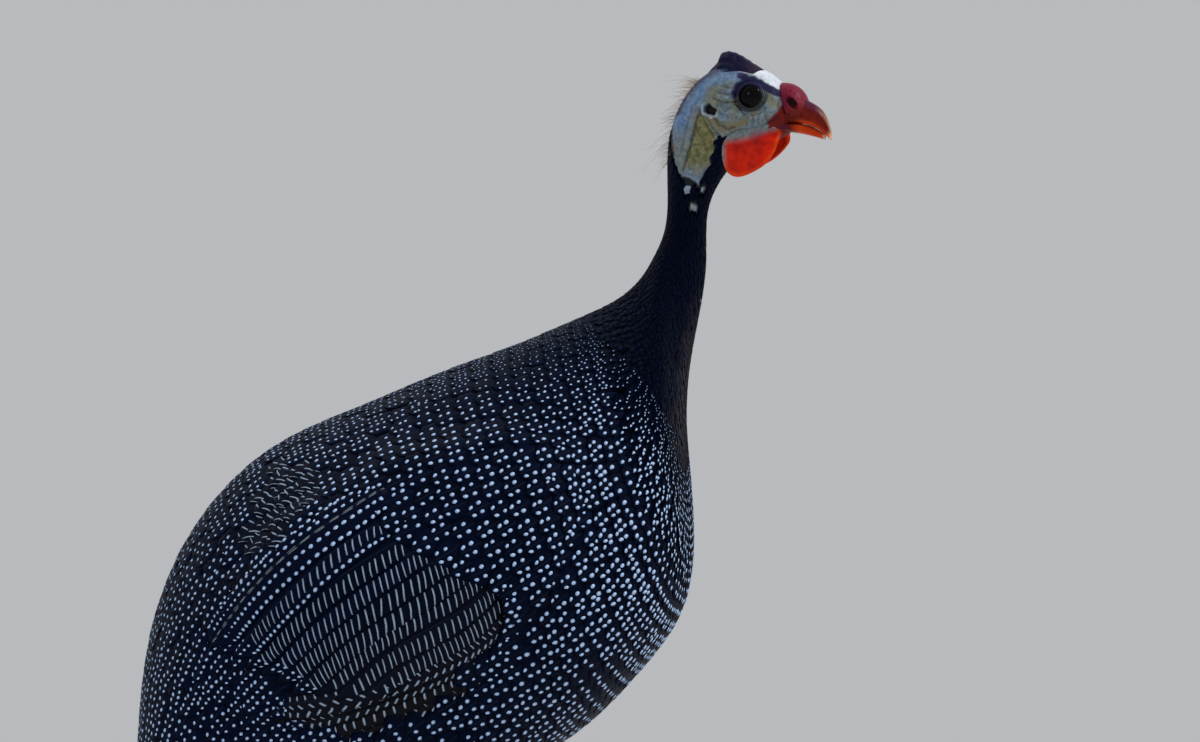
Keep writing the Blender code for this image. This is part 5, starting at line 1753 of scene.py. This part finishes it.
def leg_finish():
    """Dark grey-brown scales, paler on their worn ridges and orange-brown between them."""
    p = Paint("leg_scale")
    ridge, _, low = p.tint("paint")
    soft = p.noise(180.0, 4.0)
    fine = p.noise(1600.0, 3.0)
    colour = p.layers(
        p.mix((0.040, 0.030, 0.026), (0.070, 0.060, 0.054), soft),
        ((0.15, 0.135, 0.12), p.band(ridge, 0.55, 1.0) * (0.3 + 0.4 * fine)),
        ((0.070, 0.026, 0.012), p.band(ridge, 0.3, 0.0) * 0.75),
        ((0.13, 0.11, 0.09), low * 0.25 * fine))
    return p.finish(colour=colour, rough=0.42 + 0.2 * fine, normal=p.bump(fine + soft, 0.0002, 0.4),
                    shine=0.4)


def claw_finish():
    """Dark horn, paler towards the worn tip."""
    p = Paint("claw_horn")
    share, _, _ = p.tint("paint")
    grain = p.noise(600.0, 4.0, where=p.stretched((1, 1, 3)))
    colour = p.mix((0.028, 0.023, 0.020), (0.060, 0.050, 0.042), grain)
    colour = p.mix(colour, (0.17, 0.14, 0.11), p.band(share, 0.6, 1.0) * 0.7)
    return p.finish(colour=colour, rough=0.3 + 0.2 * grain, normal=p.bump(grain, 0.0002, 0.4), shine=0.5)


FINISH.update(leg=leg_finish(), claw=claw_finish())
for side, sign in SIDES:
    make_thigh_coat(side, sign)
    make_shank(side, sign)
    for toe, angle_out, length, half, height, claw in TOES:
        make_toe(toe + "_" + side, sign, sign * radians(angle_out), length, half, height, claw)


# ---------------------------------------------------------------- floor, light and camera

VIEW_AZIMUTH = radians(8)
VIEW_RIGHT = np.array((cos(VIEW_AZIMUTH), sin(VIEW_AZIMUTH), 0.0))
VIEW_BACK = np.array((sin(VIEW_AZIMUTH), -cos(VIEW_AZIMUTH), 0.0))
VIEW_AIM = VIEW_RIGHT * 0.0572 + (0, 0, 0.3355)
VIEW_DISTANCE = 6.0
VIEW_WIDTH = 0.6
FLOOR_RINGS, FLOOR_AROUND, FLOOR_RADIUS = 24, 64, 3.4
FLOOR_FADE = (1.1, 3.0)
SKY_COLOUR, SKY_STRENGTH = (0.86, 0.88, 0.91), 0.56


def make_stage():
    """A pale floor that fades into its pale surroundings, and their even light."""
    rings = np.concatenate([[0.0], np.linspace(0.2, FLOOR_RADIUS, FLOOR_RINGS)])
    angle = tau * np.arange(FLOOR_AROUND) / FLOOR_AROUND
    grid = np.stack([rings[:, None] * np.cos(angle), rings[:, None] * np.sin(angle),
                     0 * rings[:, None] * angle], -1)
    faces = sheet_faces(len(rings), FLOOR_AROUND, True)
    mesh = bpy.data.meshes.new("floor")
    mesh.from_pydata(grid.reshape(-1, 3).tolist(), [], faces.tolist())
    floor = bpy.data.objects.new("floor", mesh)
    bpy.context.scene.collection.objects.link(floor)
    p = Paint("pale_floor")
    reach = p.node("VectorMath", {"operation": "LENGTH"}, {0: p.here}, "Value")
    p.finish(colour=p.mix((0.80, 0.80, 0.79), (0.77, 0.77, 0.77), p.noise(3.0)), rough=0.8, shine=0.2)
    clear = p.node("BsdfTransparent", {}, {})
    both = p.node("MixShader", {}, {0: p.band(reach, *FLOOR_FADE), 1: Wire(p, p.shader.outputs[0]), 2: clear})
    p.join(p.tree.nodes["Material Output"].inputs["Surface"], both)
    mesh.materials.append(p.material)

    world = bpy.data.worlds.new("studio")
    world.use_nodes = True
    sky = world.node_tree.nodes["Background"]
    sky.inputs["Color"].default_value = (*SKY_COLOUR, 1)
    sky.inputs["Strength"].default_value = SKY_STRENGTH
    bpy.context.scene.world = world
    bpy.context.scene.view_settings.view_transform = "Standard"


def soft_light(name, place, aim, size, power, colour):
    """A round lamp of a size in metres and a power in watts, turned to look at its aim."""
    lamp = bpy.data.lights.new(name, "AREA")
    lamp.shape, lamp.size, lamp.energy, lamp.color = "DISK", size, power, colour
    made = bpy.data.objects.new(name, lamp)
    made.location = place
    away = np.array(place) - np.array(aim)
    made.rotation_euler = (atan2(np.hypot(away[0], away[1]), away[2]), 0.0, atan2(away[1], away[0]) + pi / 2)
    bpy.context.scene.collection.objects.link(made)


def make_camera():
    """A level camera far off, with a long lens that takes in the view's width."""
    lens = bpy.data.cameras.new("camera")
    lens.sensor_width = 36.0
    lens.lens = lens.sensor_width * VIEW_DISTANCE / VIEW_WIDTH
    lens.clip_end = 60.0
    camera = bpy.data.objects.new("camera", lens)
    camera.location = VIEW_AIM + VIEW_BACK * VIEW_DISTANCE
    camera.rotation_euler = (pi / 2, 0.0, VIEW_AZIMUTH)
    bpy.context.scene.collection.objects.link(camera)
    bpy.context.scene.camera = camera


make_stage()
soft_light("key", (1.35, -0.12, 1.7), (0.02, 0, 0.3), 0.5, 25, (1.0, 0.98, 0.95))
soft_light("front_fill", (-0.9, -2.1, 1.6), (0, 0, 0.25), 1.1, 14, (0.90, 0.95, 1.0))
soft_light("back_top", (-0.7, 0.9, 1.9), (0, 0, 0.3), 0.8, 7, (0.94, 0.97, 1.0))
soft_light("rear_fill", (-1.9, 0.9, 0.8), (0, 0, 0.25), 1.3, 4, (0.90, 0.95, 1.0))
make_camera()
